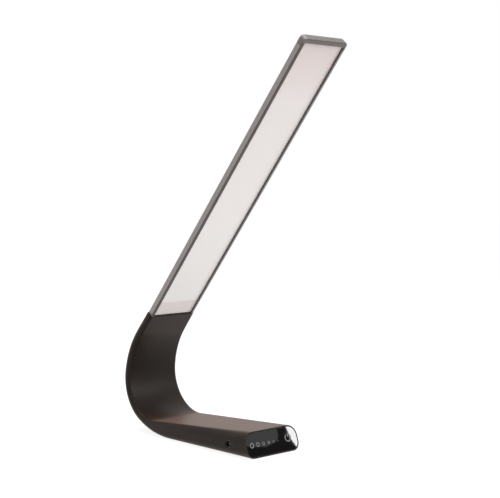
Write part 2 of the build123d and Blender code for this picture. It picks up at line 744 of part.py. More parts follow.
with BuildPart() as spine_anchor:
    with BuildSketch(Plane.YZ):
        with Locations(((anchor_start + base_end.X) / 2, anchor_middle)):
            Rectangle(ANCHOR_OVERLAP, WEB_THICKNESS)
        bar(anchor_bend, hinge_point(1), WEB_THICKNESS)
        with Locations(hinge_point(1)):
            Circle(EYE_R)
    extrude(amount=spine_width / 2, both=True)
    add(eye_room(hinge_point(1), upper_eyes), mode=Mode.SUBTRACT)
    add(hinge_rod(hinge_point(1), PIN_R).part, mode=Mode.SUBTRACT)
    with Locations(*[(x, y, ballast_top + WEB_THICKNESS) for x, y in anchor_places]):
        CounterSinkHole(
            ANCHOR_SCREW_R + SCREW_FIT, ANCHOR_SCREW_HEAD_R + SCREW_FIT, WEB_THICKNESS
        )
save(spine_anchor, "spine_anchor")

over_anchor = Plane.XY.offset(ballast_top + WEB_THICKNESS)
anchor_screw_length = WEB_THICKNESS + ballast_top - ballast_floor - ANCHOR_SCREW_TIP_GAP
anchor_screws = countersunk_screw(
    anchor_places, ANCHOR_SCREW_R, ANCHOR_SCREW_HEAD_R, anchor_screw_length, over_anchor
)
save(anchor_screws, "anchor_screws")

for number in range(1, HINGE_COUNT):
    lower, upper = hinge_point(number), hinge_point(number + 1)
    with BuildPart() as spine_link:
        with BuildSketch(Plane.YZ):
            bar(lower, upper, WEB_THICKNESS)
            with Locations(lower, upper):
                Circle(EYE_R)
        extrude(amount=spine_width / 2, both=True)
        add(eye_room(lower, lower_eyes), mode=Mode.SUBTRACT)
        add(eye_room(upper, upper_eyes), mode=Mode.SUBTRACT)
        add(hinge_rod(lower, PIN_R + PIN_RUNNING_FIT).part, mode=Mode.SUBTRACT)
        add(hinge_rod(upper, PIN_R).part, mode=Mode.SUBTRACT)
    save(spine_link, f"spine_link_{number}")

for number in range(1, HINGE_COUNT + 1):
    save(hinge_rod(hinge_point(number), PIN_R), f"hinge_pin_{number}")

# ---- Silicone sleeve: one length over each hinge, and the collar that holds the head ----
cavity_depth = ARM_THICKNESS / 2 - EYE_R - CAVITY_FIT

with BuildPart() as arm_cavity:
    with BuildSketch(Plane.YZ):
        with BuildLine():
            far_depth = ARM_THICKNESS - cavity_depth
            near_start = bend_start - left_of(START_HEADING) * cavity_depth
            near_bend = JernArc(
                near_start, toward(START_HEADING), BEND_R + cavity_depth, BEND_ANGLE
            )
            near_neck = JernArc(
                near_bend @ 1, toward(BEND_HEADING), NECK_R + cavity_depth, NECK_ANGLE
            )
            far_end = neck_end - left_of(END_HEADING) * far_depth
            Line(near_neck @ 1, far_end)
            far_neck = JernArc(far_end, -toward(END_HEADING), NECK_R + far_depth, -NECK_ANGLE)
            far_bend = JernArc(
                far_neck @ 1, -toward(BEND_HEADING), BEND_R + far_depth, -BEND_ANGLE
            )
            Line(far_bend @ 1, near_start)
        make_face()
    extrude(amount=BAND_WIDTH / 2 - SLEEVE_SIDE_WALL, both=True)

for number in range(1, HINGE_COUNT + 1):
    with BuildPart() as arm_sleeve:
        add(band.part)
        add(arm_slice((number - 1) * hinge_pitch, number * hinge_pitch), mode=Mode.INTERSECT)
        add(arm_cavity.part, mode=Mode.SUBTRACT)
    save(arm_sleeve, f"arm_sleeve_{number}")

collar_start = centreline(flex_length)[0]
collar_top = centreline(flex_length + COLLAR_LENGTH)[0]

with BuildPart() as arm_collar:
    add(band.part)
    add(arm_slice(flex_length, flex_length + 2 * COLLAR_LENGTH), mode=Mode.INTERSECT)
    collar_plane = Plane(
        origin=side_point(0, collar_start),
        x_dir=(-1, 0, 0),
        z_dir=side_point(0, toward(END_HEADING)),
    )
    with BuildSketch(collar_plane):
        Rectangle(spine_width + 2 * TONGUE_FIT, WEB_THICKNESS + 2 * TONGUE_FIT)
        with Locations((-lead_x, 0)):
            Circle(LEAD_R + LEAD_FIT)
    extrude(amount=COLLAR_LENGTH, mode=Mode.SUBTRACT)
    rim = arm_collar.faces().sort_by(Axis(side_point(0, collar_start), collar_plane.z_dir))[-1]
    fillet(rim.outer_wire().edges(), COLLAR_EDGE_R)
save(arm_collar, "arm_collar")

# ---- Head: the head plane's X runs across, its Y along the head and its Z out of the light ----
head_width = BAND_WIDTH - 2 * HEAD_SIDE_STEP
head_depth = HEAD_SINK + HEAD_THICKNESS / 2
head_origin = collar_end - left_of(END_HEADING) * head_depth
head_plane = Plane(
    origin=side_point(0, head_origin),
    x_dir=(1, 0, 0),
    z_dir=side_point(0, left_of(END_HEADING)),
)
head_front = HEAD_THICKNESS / 2
head_back = -head_front
tray_floor = head_back + BACK_PLATE
lip_back = head_front - RECESS
diffuser_back = lip_back - DIFFUSER_THICKNESS
tray_half_width = head_width / 2 - RAIL_WALL
window_half_width = head_width / 2 - LIP_WIDTH
cap_start = HEAD_LENGTH - CAP_LENGTH
tongue_middle = head_depth - ARM_THICKNESS / 2
tongue_back = tongue_middle - WEB_THICKNESS / 2
tongue_front = diffuser_back - DIFFUSER_FIT
block_half_width = lead_x - LEAD_R - LEAD_FIT
tongue_reach = ROOT_BLOCK_LENGTH - TONGUE_FIT - WEB_THICKNESS / 2
tongue_tip = collar_top + toward(END_HEADING) * tongue_reach
root_screw_places = [
    (x, y) for x in (-ROOT_SCREW_X, ROOT_SCREW_X) for y in ROOT_SCREW_STARTS
]


def head_slab(half_width, start, end, back, front):
    """A rectangular slab in the head, between two distances along it and two heights."""
    with BuildPart() as slab:
        with BuildSketch(head_plane.offset(back)):
            with Locations((0, (start + end) / 2)):
                Rectangle(2 * half_width, end - start)
        extrude(amount=front - back)
    return slab


with BuildPart() as head_tongue:
    with BuildSketch(Plane.YZ):
        bar(hinge_point(HINGE_COUNT), collar_start, WEB_THICKNESS)
        bar(collar_start, tongue_tip, WEB_THICKNESS)
        with Locations(hinge_point(HINGE_COUNT)):
            Circle(EYE_R)
    extrude(amount=spine_width / 2, both=True)
    add(eye_room(hinge_point(HINGE_COUNT), lower_eyes), mode=Mode.SUBTRACT)
    add(hinge_rod(hinge_point(HINGE_COUNT), PIN_R + PIN_RUNNING_FIT).part, mode=Mode.SUBTRACT)
    with BuildSketch(head_plane.offset(tongue_front)):
        with Locations((0, ROOT_BLOCK_LENGTH)):
            Rectangle(BAND_WIDTH, 2 * ROOT_BLOCK_LENGTH)
    extrude(amount=HEAD_THICKNESS, mode=Mode.SUBTRACT)
    with Locations(head_plane.offset(tongue_front)):
        with Locations(*root_screw_places):
            CounterSinkHole(
                ROOT_SCREW_R + SCREW_FIT, ROOT_SCREW_HEAD_R + SCREW_FIT, WEB_THICKNESS
            )
save(head_tongue, "head_tongue")

with BuildPart() as root_block:
    with BuildSketch(head_plane.offset(tray_floor)):
        with Locations((0, (HEAD_GAP + ROOT_BLOCK_LENGTH) / 2)):
            Rectangle(2 * block_half_width, ROOT_BLOCK_LENGTH - HEAD_GAP)
    extrude(amount=diffuser_back - tray_floor)
    with BuildSketch(head_plane.offset(tongue_back)):
        Rectangle(spine_width + 2 * TONGUE_FIT, 2 * ROOT_BLOCK_LENGTH)
    extrude(amount=HEAD_THICKNESS, mode=Mode.SUBTRACT)
    with BuildSketch(head_plane.offset(tray_floor)):
        with Locations(*root_screw_places):
            Circle(ROOT_SCREW_R + SCREW_FIT)
    extrude(amount=HEAD_THICKNESS, mode=Mode.SUBTRACT)
save(root_block, "root_block")

root_screws = countersunk_screw(
    root_screw_places,
    ROOT_SCREW_R,
    ROOT_SCREW_HEAD_R,
    tongue_front - tray_floor + ROOT_SCREW_BITE,
    head_plane.offset(tongue_front),
)
save(root_screws, "root_screws")

with BuildPart() as head_frame:
    section_plane = Plane(
        origin=head_plane.from_local_coords((0, HEAD_GAP, 0)),
        x_dir=(-1, 0, 0),
        z_dir=head_plane.y_dir,
    )
    with BuildSketch(section_plane):
        RectangleRounded(head_width, HEAD_THICKNESS, FRAME_EDGE_R)
        with Locations((0, (tray_floor + lip_back) / 2)):
            Rectangle(2 * tray_half_width, lip_back - tray_floor, mode=Mode.SUBTRACT)
        with Locations((0, lip_back)):
            Rectangle(2 * window_half_width, 2 * RECESS, mode=Mode.SUBTRACT)
    extrude(amount=cap_start - HEAD_GAP)
    with BuildSketch(head_plane.offset(tray_floor)):
        with Locations(*root_screw_places):
            Circle(ROOT_SCREW_R + SCREW_FIT)
    extrude(amount=-ROOT_SCREW_BITE, mode=Mode.SUBTRACT)
save(head_frame, "head_frame")

with BuildPart() as end_cap:
    with BuildSketch(head_plane.offset(head_back)):
        with Locations((0, (cap_start + HEAD_LENGTH) / 2)):
            cap_outline = Rectangle(head_width, CAP_LENGTH)
        fillet(cap_outline.vertices().group_by(Axis.Y)[-1], CAP_CORNER_R)
    extrude(amount=HEAD_THICKNESS)
    cap_faces = end_cap.faces().sort_by(Axis(head_plane.origin, head_plane.z_dir))
    cap_rims = cap_faces[0].edges() + cap_faces[-1].edges()
    joint_edges = end_cap.edges().group_by(Axis(head_plane.origin, head_plane.y_dir))[0]
    fillet([edge for edge in cap_rims if edge not in joint_edges], FRAME_EDGE_R)
    pocket_end = HEAD_LENGTH - CAP_WALL
    pocket = head_slab(tray_half_width, 0, pocket_end, tray_floor, lip_back)
    add(pocket.part, mode=Mode.SUBTRACT)
    window = head_slab(window_half_width, 0, HEAD_LENGTH - END_LIP, lip_back, HEAD_THICKNESS)
    add(window.part, mode=Mode.SUBTRACT)
save(end_cap, "end_cap")

diffuser_half_width = window_half_width + DIFFUSER_UNDER_LIP
guide_half_width = tray_half_width - LED_BOARD_THICKNESS - LED_DEPTH - GUIDE_FIT
optics_end = HEAD_LENGTH - CAP_WALL - DIFFUSER_FIT
guide_start = ROOT_BLOCK_LENGTH + GUIDE_FIT
reflector_front = tray_floor + REFLECTOR_THICKNESS

diffuser = head_slab(diffuser_half_width, HEAD_GAP, optics_end, diffuser_back, lip_back)
save(diffuser, "diffuser")

light_guide = head_slab(guide_half_width, guide_start, optics_end, reflector_front, diffuser_back)
save(light_guide, "light_guide")

reflector = head_slab(guide_half_width, guide_start, optics_end, tray_floor, reflector_front)
save(reflector, "reflector")

# ---- Light strips along both rails ----
led_start = ROOT_BLOCK_LENGTH + LED_LENGTH
led_end = cap_start - LED_LENGTH
led_board_start = ROOT_BLOCK_LENGTH / 2
led_board_face = tray_half_width - LED_BOARD_THICKNESS
led_pitch = (led_end - led_start - LED_LENGTH) / (LED_COUNT - 1)
led_middle = (reflector_front + diffuser_back) / 2

for side, hand in ((-1, "left"), (1, "right")):
    led_board_x = side * (tray_half_width - LED_BOARD_THICKNESS / 2)
    with BuildPart() as led_board:
        with BuildSketch(head_plane.offset(tray_floor)):
            with Locations((led_board_x, (led_board_start + led_end) / 2)):
                Rectangle(LED_BOARD_THICKNESS, led_end - led_board_start)
        extrude(amount=lip_back - DIFFUSER_FIT - tray_floor)
    save(led_board, f"led_board_{hand}")
    with BuildPart() as leds:
        with BuildSketch(head_plane.offset(led_middle - LED_HEIGHT / 2)):
            for number in range(LED_COUNT):
                along = led_start + LED_LENGTH / 2 + number * led_pitch
                with Locations((side * (led_board_face - LED_DEPTH / 2), along)):
                    Rectangle(LED_DEPTH, LED_LENGTH)
        extrude(amount=LED_HEIGHT)
    save(leds, f"leds_{hand}")

# ---- Lead from the board through the arm to the light strips ----
with BuildPart() as base_lead:
    with BuildLine() as base_route:
        board_middle = (board_floor + board_top) / 2
        FilletPolyline(
            (lead_x, base_end.X, base_end.Y),
            (lead_x, board_middle_y, board_middle),
            (board_half_width, board_middle_y, board_middle),
            radius=BASE_LEAD_BEND_R,
        )
    with BuildSketch(Plane(origin=base_route.line @ 0, z_dir=base_route.line % 0)):
        Circle(LEAD_R)
    sweep()
save(base_lead, "base_lead")

with BuildPart() as arm_lead_whole:
    with BuildLine(Plane.YZ.offset(lead_x)) as arm_route:
        JernArc(
            pair(base_end), pair(toward(START_HEADING)), BEND_R + ARM_THICKNESS / 2, BEND_ANGLE
        )
        JernArc(
            pair(centreline(bend_length)[0]),
            pair(toward(BEND_HEADING)),
            NECK_R + ARM_THICKNESS / 2,
            NECK_ANGLE,
        )
    with BuildSketch(Plane(origin=arm_route.line @ 0, z_dir=arm_route.line % 0)):
        Circle(LEAD_R)
    sweep()

for number in range(1, HINGE_COUNT + 1):
    with BuildPart() as arm_lead:
        add(arm_lead_whole.part)
        add(arm_slice((number - 1) * hinge_pitch, number * hinge_pitch), mode=Mode.INTERSECT)
    save(arm_lead, f"arm_lead_{number}")

with BuildPart() as head_lead:
    with BuildLine(head_plane.offset(tongue_middle)) as head_route:
        FilletPolyline(
            (lead_x, -COLLAR_LENGTH),
            (lead_x, led_board_start),
            (led_board_face - LEAD_R, led_board_start + 2 * (led_board_face - lead_x)),
            radius=HEAD_LEAD_BEND_R,
        )
    with BuildSketch(Plane(origin=head_route.line @ 0, z_dir=head_route.line % 0)):
        Circle(LEAD_R)
    sweep()
save(head_lead, "head_lead")
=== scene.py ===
import json
import math

import bmesh
import bpy
from mathutils import Matrix, Vector


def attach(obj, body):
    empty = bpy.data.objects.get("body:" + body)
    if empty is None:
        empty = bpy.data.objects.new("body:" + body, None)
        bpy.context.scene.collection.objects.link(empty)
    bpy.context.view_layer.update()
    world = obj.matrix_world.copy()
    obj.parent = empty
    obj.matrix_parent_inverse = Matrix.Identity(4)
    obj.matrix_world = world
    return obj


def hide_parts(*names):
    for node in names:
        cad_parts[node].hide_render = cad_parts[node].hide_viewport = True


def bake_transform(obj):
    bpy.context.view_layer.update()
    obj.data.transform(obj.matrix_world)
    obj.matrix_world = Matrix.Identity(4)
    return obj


# Light therapy desk lamp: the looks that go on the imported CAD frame. Sizes are in millimetres and
# become metres through MM. The side profile lies in the YZ plane; a heading of 0 degrees points to
# the back and 90 degrees points up.

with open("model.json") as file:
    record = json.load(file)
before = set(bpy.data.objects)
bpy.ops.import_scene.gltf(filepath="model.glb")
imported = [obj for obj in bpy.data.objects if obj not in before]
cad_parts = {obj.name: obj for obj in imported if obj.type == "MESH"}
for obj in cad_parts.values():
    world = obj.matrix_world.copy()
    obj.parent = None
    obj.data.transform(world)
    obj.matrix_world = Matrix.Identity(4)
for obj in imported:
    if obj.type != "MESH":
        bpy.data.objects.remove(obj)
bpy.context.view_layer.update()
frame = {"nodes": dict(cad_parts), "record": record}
nodes = frame["nodes"]

MM = 0.001

# ---- Sizes that the looks share with the solids ----
BAND_WIDTH = 60.0            # at the collar's end
BASE_WIDTH = 69.0            # at the underside
PANEL_HEIGHT = 24.2
PANEL_SETBACK = 7.5
TOP_LENGTH = 138.4
TOP_FALL = 3.95
BEND_R = 41.2
BEND_ANGLE = 101.05
NECK_R = 77.0
NECK_ANGLE = 33.0
COLLAR_LENGTH = 26.0
ARM_THICKNESS = 8.2
BELLY_R = 110.0
TOP_EDGE_R = 3.6
BOTTOM_EDGE_R = 3.9
UNDERSIDE = 0.4
COVER_START = 9.0
COVER_REAR_MARGIN = 8.2
HINGE_COUNT = 6
SLEEVE_WALL = 1.3
LEAD_X = 22.5
LEAD_R = 0.55
HEAD_DEPTH = 3.75
HEAD_LENGTH = 346.0
HEAD_THICKNESS = 7.2
HEAD_GAP = 0.1
HEAD_SIDE_STEP = 2.25
LIP_WIDTH = 2.65
END_LIP = 5.0
RECESS = 2.1
FRAME_EDGE_R = 0.8           # of the rails' front edges
ROOT_BLOCK_LENGTH = 18.0

# ---- Fineness of the pieces made here ----
SLEEVE_STEPS = 28            # along each length of sleeve
EDGE_STEPS = 8               # around each of its rounded edges
LEAD_SIDES = 14
DOUBLES_GAP = 0.000001       # metres
SHARP_ANGLE = 40.0           # degrees, past which a sleeve's edge isn't smoothed
RING_SIDES = 32


# ---- Side profile geometry, as 2D (y, z) vectors ----
def toward(heading):
    """Unit vector along a heading in the side profile."""
    return Vector((math.cos(math.radians(heading)), math.sin(math.radians(heading))))


def left_of(heading):
    """Unit vector to the left of a heading: towards the inside of the arm's bend."""
    return toward(heading + 90)


def in_metres(x, point):
    """The scene point over a side-profile point."""
    return Vector((x, point.x, point.y)) * MM


START_HEADING = -TOP_FALL
BEND_HEADING = START_HEADING + BEND_ANGLE
END_HEADING = BEND_HEADING + NECK_ANGLE
panel_rise = Vector((PANEL_SETBACK, UNDERSIDE + PANEL_HEIGHT))
bend_rise = panel_rise + toward(START_HEADING) * TOP_LENGTH + left_of(START_HEADING) * BEND_R

# The belly arc runs from the flat underside to the outside of the tight bend. The origin is the
# middle of the bottom cover, between the front edge and where the belly starts.
belly_reach = BELLY_R - BEND_R - ARM_THICKNESS
belly_heading = math.degrees(math.acos((BELLY_R + UNDERSIDE - bend_rise.y) / belly_reach))
underside_length = bend_rise.x - belly_reach * math.sin(math.radians(belly_heading))
FRONT_Y = -(underside_length + COVER_START - COVER_REAR_MARGIN) / 2

panel_foot = Vector((FRONT_Y, UNDERSIDE))
panel_top = Vector((FRONT_Y, 0)) + panel_rise
panel_up = (panel_top - panel_foot).normalized()
panel_out = Vector((-panel_up.y, panel_up.x))
bend_start = panel_top + toward(START_HEADING) * TOP_LENGTH
bend_centre = bend_start + left_of(START_HEADING) * BEND_R
neck_centre = bend_centre + left_of(BEND_HEADING) * (NECK_R - BEND_R)
neck_end = neck_centre - left_of(END_HEADING) * NECK_R
collar_end = neck_end + toward(END_HEADING) * COLLAR_LENGTH
belly_centre = Vector((FRONT_Y + underside_length, UNDERSIDE + BELLY_R))
bend_length = math.radians(BEND_ANGLE) * (BEND_R + ARM_THICKNESS / 2)
neck_length = math.radians(NECK_ANGLE) * (NECK_R + ARM_THICKNESS / 2)
hinge_pitch = (bend_length + neck_length) / HINGE_COUNT
head_origin = collar_end - left_of(END_HEADING) * HEAD_DEPTH
side_lean = (BASE_WIDTH - BAND_WIDTH) / 2 / (collar_end.y - UNDERSIDE)


def inner_line(distance):
    """Point and heading on the band's inner surface, at a distance along the centreline."""
    if distance <= bend_length:
        heading = START_HEADING + BEND_ANGLE * distance / bend_length
        return bend_centre - left_of(heading) * BEND_R, heading
    heading = BEND_HEADING + NECK_ANGLE * (distance - bend_length) / neck_length
    return neck_centre - left_of(heading) * NECK_R, heading


def band_thickness(distance):
    """Thickness of the band square to its inner surface; the belly makes its start thicker."""
    point, heading = inner_line(distance)
    if heading >= belly_heading:
        return ARM_THICKNESS
    gap = point - belly_centre
    down = gap.dot(left_of(heading))
    return down + math.sqrt(down**2 - gap.dot(gap) + BELLY_R**2)


# ---- Materials ----
def linear(hex_colour):
    """Linear RGBA of an sRGB hex colour."""
    channels = [int(hex_colour[i:i + 2], 16) / 255 for i in (1, 3, 5)]
    return tuple(
        c / 12.92 if c <= 0.04045 else ((c + 0.055) / 1.055) ** 2.4 for c in channels
    ) + (1.0,)


def node(tree, kind, inputs=None, **settings):
    """Adds a node to a tree, links or sets its inputs, and sets its properties."""
    made = tree.nodes.new(kind)
    for name, value in settings.items():
        setattr(made, name, value)
    for socket, value in (inputs or {}).items():
        if isinstance(value, bpy.types.NodeSocket):
            tree.links.new(value, made.inputs[socket])
        else:
            made.inputs[socket].default_value = value
    return made


def start_material(name):
    """A new material with its tree, its principled shader and its object coordinates."""
    material = bpy.data.materials.new(name)
    material.use_nodes = True
    tree = material.node_tree
    tree.nodes.clear()
    shader = node(tree, "ShaderNodeBsdfPrincipled")
    node(tree, "ShaderNodeOutputMaterial", {"Surface": shader.outputs[0]})
    place = node(tree, "ShaderNodeTexCoord").outputs["Object"]
    return material, tree, shader, place


def grain(tree, place, size_mm, detail=2.0):
    """Noise whose grains are about that many millimetres across."""
    pattern = {"Vector": place, "Scale": 1 / (size_mm * MM), "Detail": detail}
    return node(tree, "ShaderNodeTexNoise", pattern).outputs["Fac"]


def tinted(tree, shader, factor, low, high):
    """Base colour that runs between two hex colours with a pattern."""
    ramp = node(tree, "ShaderNodeValToRGB", {"Fac": factor})
    ramp.color_ramp.elements[0].position = 0.35
    ramp.color_ramp.elements[1].position = 0.65
    ramp.color_ramp.elements[0].color = linear(low)
    ramp.color_ramp.elements[1].color = linear(high)
    tree.links.new(ramp.outputs["Color"], shader.inputs["Base Color"])


def roughened(tree, shader, factor, low, high):
    """Roughness that runs between two values with a pattern."""
    spread = node(tree, "ShaderNodeMapRange", {"Value": factor, "To Min": low, "To Max": high})
    tree.links.new(spread.outputs["Result"], shader.inputs["Roughness"])


def bumped(tree, shader, height, depth_mm, strength):
    """A bump of that depth in millimetres."""
    relief = {"Height": height, "Strength": strength, "Distance": depth_mm * MM}
    bump = node(tree, "ShaderNodeBump", relief)
    tree.links.new(bump.outputs["Normal"], shader.inputs["Normal"])


def soft_touch_silicone():
    """Silicone rubber moulded against a polished tool and left with a soft-touch skin: a deep
    brown-black that stays dark face on, and the skin's fine velvet turns it a pinkish grey where
    it is seen at a glancing angle. Slow clouds in its roughness are what handling leaves. The
    skin's own grain is finer than a tenth of a millimetre, so it is drawn at 0.5 mm to show at
    all."""
    material, tree, shader, place = start_material("soft_touch_silicone")
    tinted(tree, shader, grain(tree, place, 34.0), "#1c1510", "#231b15")
    roughened(tree, shader, grain(tree, place, 9.0), 0.36, 0.44)
    bumped(tree, shader, grain(tree, place, 0.5, 3.0), 0.01, 0.3)
    shader.inputs["IOR"].default_value = 1.41
    shader.inputs["Specular IOR Level"].default_value = 0.2
    shader.inputs["Sheen Weight"].default_value = 0.8
    shader.inputs["Sheen Roughness"].default_value = 0.33
    shader.inputs["Sheen Tint"].default_value = linear("#c9a494")
    return material


def moulded_abs(name, low, high, texture_mm=0.5):
    """Injection-moulded plastic with a spark-eroded texture: satin, with a fine even grain."""
    material, tree, shader, place = start_material(name)
    tinted(tree, shader, grain(tree, place, 12.0), low, high)
    roughened(tree, shader, grain(tree, place, 3.0), 0.42, 0.55)
    bumped(tree, shader, grain(tree, place, texture_mm, 3.0), 0.02, 0.5)
    return material


def piano_black_acrylic():
    """Back-painted acrylic window: black with a mirror-like face and a trace of dust haze."""
    material, tree, shader, place = start_material("piano_black_acrylic")
    tinted(tree, shader, grain(tree, place, 20.0), "#080707", "#0b0a0a")
    roughened(tree, shader, grain(tree, place, 5.0), 0.01, 0.025)
    shader.inputs["IOR"].default_value = 1.49
    return material


def printed_ink(name, low, high):
    """Screen-printed ink: flat and dull, a little uneven where the screen's threads were. The
    threads are 0.1 mm apart, so they are drawn at 0.4 mm."""
    material, tree, shader, place = start_material(name)
    tinted(tree, shader, grain(tree, place, 0.4), low, high)
    roughened(tree, shader, grain(tree, place, 0.4), 0.35, 0.5)
    return material


def anodised_aluminium(name, low, high):
    """Aluminium, bead blasted and anodised in a warm gunmetal: metal under a dull skin, with
    faint drawing lines along the head and a fine sparkle from the blasting. The beads leave
    dimples of 0.1 mm, drawn at 0.35 mm."""
    material, tree, shader, place = start_material(name)
    along_head = {
        "Vector": place,
        "Rotation": (math.radians(90 - END_HEADING), 0.0, 0.0),
        "Scale": (1.0, 1.0, 0.02),
    }
    lines = grain(tree, node(tree, "ShaderNodeMapping", along_head).outputs["Vector"], 0.7, 3.0)
    tinted(tree, shader, lines, low, high)
    roughened(tree, shader, lines, 0.42, 0.52)
    bumped(tree, shader, grain(tree, place, 0.35), 0.004, 0.3)
    shader.inputs["Metallic"].default_value = 1.0
    return material


# Colours of the diffuser from the collar to the tip, by share of the head's length, with painted
# shade. The first three stand over the root block and are painted greyer as its shade, and the last
# ones grow greyer towards the tip as painted shade.
ROOT_SHARE = ROOT_BLOCK_LENGTH / HEAD_LENGTH
ROOT_EDGE = 0.001            # half the share over which the band ends
DIFFUSER_COLOURS_AND_PAINTED_SHADE = (
    (0.0, "#f0e7e4"),
    (ROOT_SHARE * 0.3, "#eae0dd"),
    (ROOT_SHARE - ROOT_EDGE, "#e9dfdc"),
    (ROOT_SHARE + ROOT_EDGE, "#f5f1ef"),
    (0.35, "#f1ecea"),
    (0.8, "#e9e2e0"),
    (0.93, "#e0d4d1"),
    (1.0, "#d8cbc8"),
)


def opal_diffuser():
    """Matt opal acrylic over the light guide: milky, with painted shade as a greyer band where the
    root block lies behind it, and more painted shade towards the tip, where the guide ends. Its face
    is matt from fine beads, drawn at 0.3 mm."""
    material, tree, shader, place = start_material("opal_diffuser")
    axis = toward(END_HEADING)
    root = head_origin.dot(axis) * MM
    across = {0: place, 1: (0.0, axis.x, axis.y)}
    along = node(tree, "ShaderNodeVectorMath", across, operation="DOT_PRODUCT")
    reach = {"Value": along.outputs["Value"], "From Min": root, "From Max": root + HEAD_LENGTH * MM}
    share = node(tree, "ShaderNodeMapRange", reach).outputs["Result"]
    # The ramp along the head paints shade: greyer over the root block and towards the tip.
    shade = node(tree, "ShaderNodeValToRGB", {"Fac": share})
    stops = shade.color_ramp.elements
    stops[0].position, stops[0].color = DIFFUSER_COLOURS_AND_PAINTED_SHADE[0][0], linear(DIFFUSER_COLOURS_AND_PAINTED_SHADE[0][1])
    stops[1].position, stops[1].color = DIFFUSER_COLOURS_AND_PAINTED_SHADE[-1][0], linear(DIFFUSER_COLOURS_AND_PAINTED_SHADE[-1][1])
    for position, colour in DIFFUSER_COLOURS_AND_PAINTED_SHADE[1:-1]:
        stops.new(position).color = linear(colour)
    tree.links.new(shade.outputs["Color"], shader.inputs["Base Color"])
    roughened(tree, shader, grain(tree, place, 2.0), 0.5, 0.6)
    bumped(tree, shader, grain(tree, place, 0.3), 0.01, 0.4)
    shader.inputs["IOR"].default_value = 1.49
    shader.inputs["Subsurface Weight"].default_value = 0.1
    shader.inputs["Subsurface Radius"].default_value = (0.003, 0.003, 0.003)
    return material


def plain_metal(name, low, high, rough, line_mm=0.5):
    """Bare rolled or plated metal: bright, with short rolling marks."""
    material, tree, shader, place = start_material(name)
    drawn = {"Vector": place, "Scale": (1.0, 0.08, 1.0)}
    marks = grain(tree, node(tree, "ShaderNodeMapping", drawn).outputs["Vector"], line_mm, 3.0)
    tinted(tree, shader, marks, low, high)
    roughened(tree, shader, marks, rough - 0.05, rough + 0.08)
    shader.inputs["Metallic"].default_value = 1.0
    return material


def foot_rubber():
    """Pressed rubber foot: dull black with a leathery grain."""
    material, tree, shader, place = start_material("foot_rubber")
    tinted(tree, shader, grain(tree, place, 4.0), "#1b1a1a", "#242322")
    roughened(tree, shader, grain(tree, place, 1.0), 0.75, 0.9)
    bumped(tree, shader, grain(tree, place, 0.8, 4.0), 0.05, 0.6)
    return material


def solder_mask():
    """Printed board under green solder mask: glossy lacquer over the glass cloth's 0.5 mm weave."""
    material, tree, shader, place = start_material("solder_mask")
    weave = node(tree, "ShaderNodeTexWave", {"Vector": place, "Scale": 1 / (0.5 * MM * 2 * math.pi)})
    tinted(tree, shader, weave.outputs["Fac"], "#0d4a2a", "#125a33")
    roughened(tree, shader, grain(tree, place, 2.0), 0.25, 0.35)
    return material


def phosphor_resin():
    """Yellow phosphor resin of the light sources: satin, a little mottled."""
    material, tree, shader, place = start_material("phosphor_resin")
    tinted(tree, shader, grain(tree, place, 0.4), "#e8c95a", "#f1da84")
    roughened(tree, shader, grain(tree, place, 0.3), 0.3, 0.4)
    return material


def clear_acrylic():
    """Cast acrylic light guide with its 1.2 mm pattern of printed dots."""
    material, tree, shader, place = start_material("clear_acrylic")
    dots = node(tree, "ShaderNodeTexVoronoi", {"Vector": place, "Scale": 1 / (1.2 * MM)})
    tinted(tree, shader, dots.outputs["Distance"], "#f4f4f2", "#dfe5e4")
    shader.inputs["Roughness"].default_value = 0.08
    shader.inputs["IOR"].default_value = 1.49
    shader.inputs["Transmission Weight"].default_value = 0.4
    return material


finishes = {
    "soft_touch_silicone": soft_touch_silicone(),
    "moulded_abs": moulded_abs("moulded_abs", "#171615", "#1d1c1b"),
    "gloss_acrylic": piano_black_acrylic(),
    "foot_rubber": foot_rubber(),
    "steel": plain_metal("rolled_steel", "#8f9094", "#a3a4a8", 0.35),
    "zinc_screw": plain_metal("zinc_plated_steel", "#9fa2a8", "#b8bac0", 0.28, 0.3),
    # Nickel drawn near black: painted shade, so the power jack's opening reads dark.
    "nickel": plain_metal("nickel_plate_painted_shade", "#4a4641", "#57524c", 0.3, 0.3),
    "circuit_board": solder_mask(),
    "component_resin": moulded_abs("epoxy_resin", "#141414", "#202022", 0.2),
    "nylon": moulded_abs("natural_nylon", "#d3cfc4", "#dedad0", 0.4),
    "anodised_aluminium": anodised_aluminium("anodised_aluminium", "#8d8685", "#999291"),
    "opal_diffuser": opal_diffuser(),
    "clear_acrylic": clear_acrylic(),
    "white_film": moulded_abs("white_pet_film", "#eeeeee", "#f6f6f6", 0.3),
    "led_resin": phosphor_resin(),
    "lead_sheath": moulded_abs("pvc_sheath", "#131313", "#1b1b1b", 0.3),
}
level_ink = printed_ink("grey_screen_ink", "#938e8b", "#a19c99")
# A dark rubber for the head's strips of painted shade.
painted_shade_rubber = moulded_abs("painted_shade_rubber", "#484241", "#524c4a", 0.4)
power_ink = printed_ink("dark_grey_screen_ink", "#6b6663", "#787370")
for part in frame["record"]["subparts"]:
    solid = nodes[part["node"]]
    solid.data.materials.clear()
    solid.data.materials.append(finishes[part["material_slot"]])
# The cast end cap takes the finish of the drawn rails a little darker, as painted shade that takes
# down the overhead lamp's light on its upward end wall.
nodes["end_cap"].data.materials[0] = anodised_aluminium("anodised_end_cap_painted_shade", "#6f6968", "#797271")


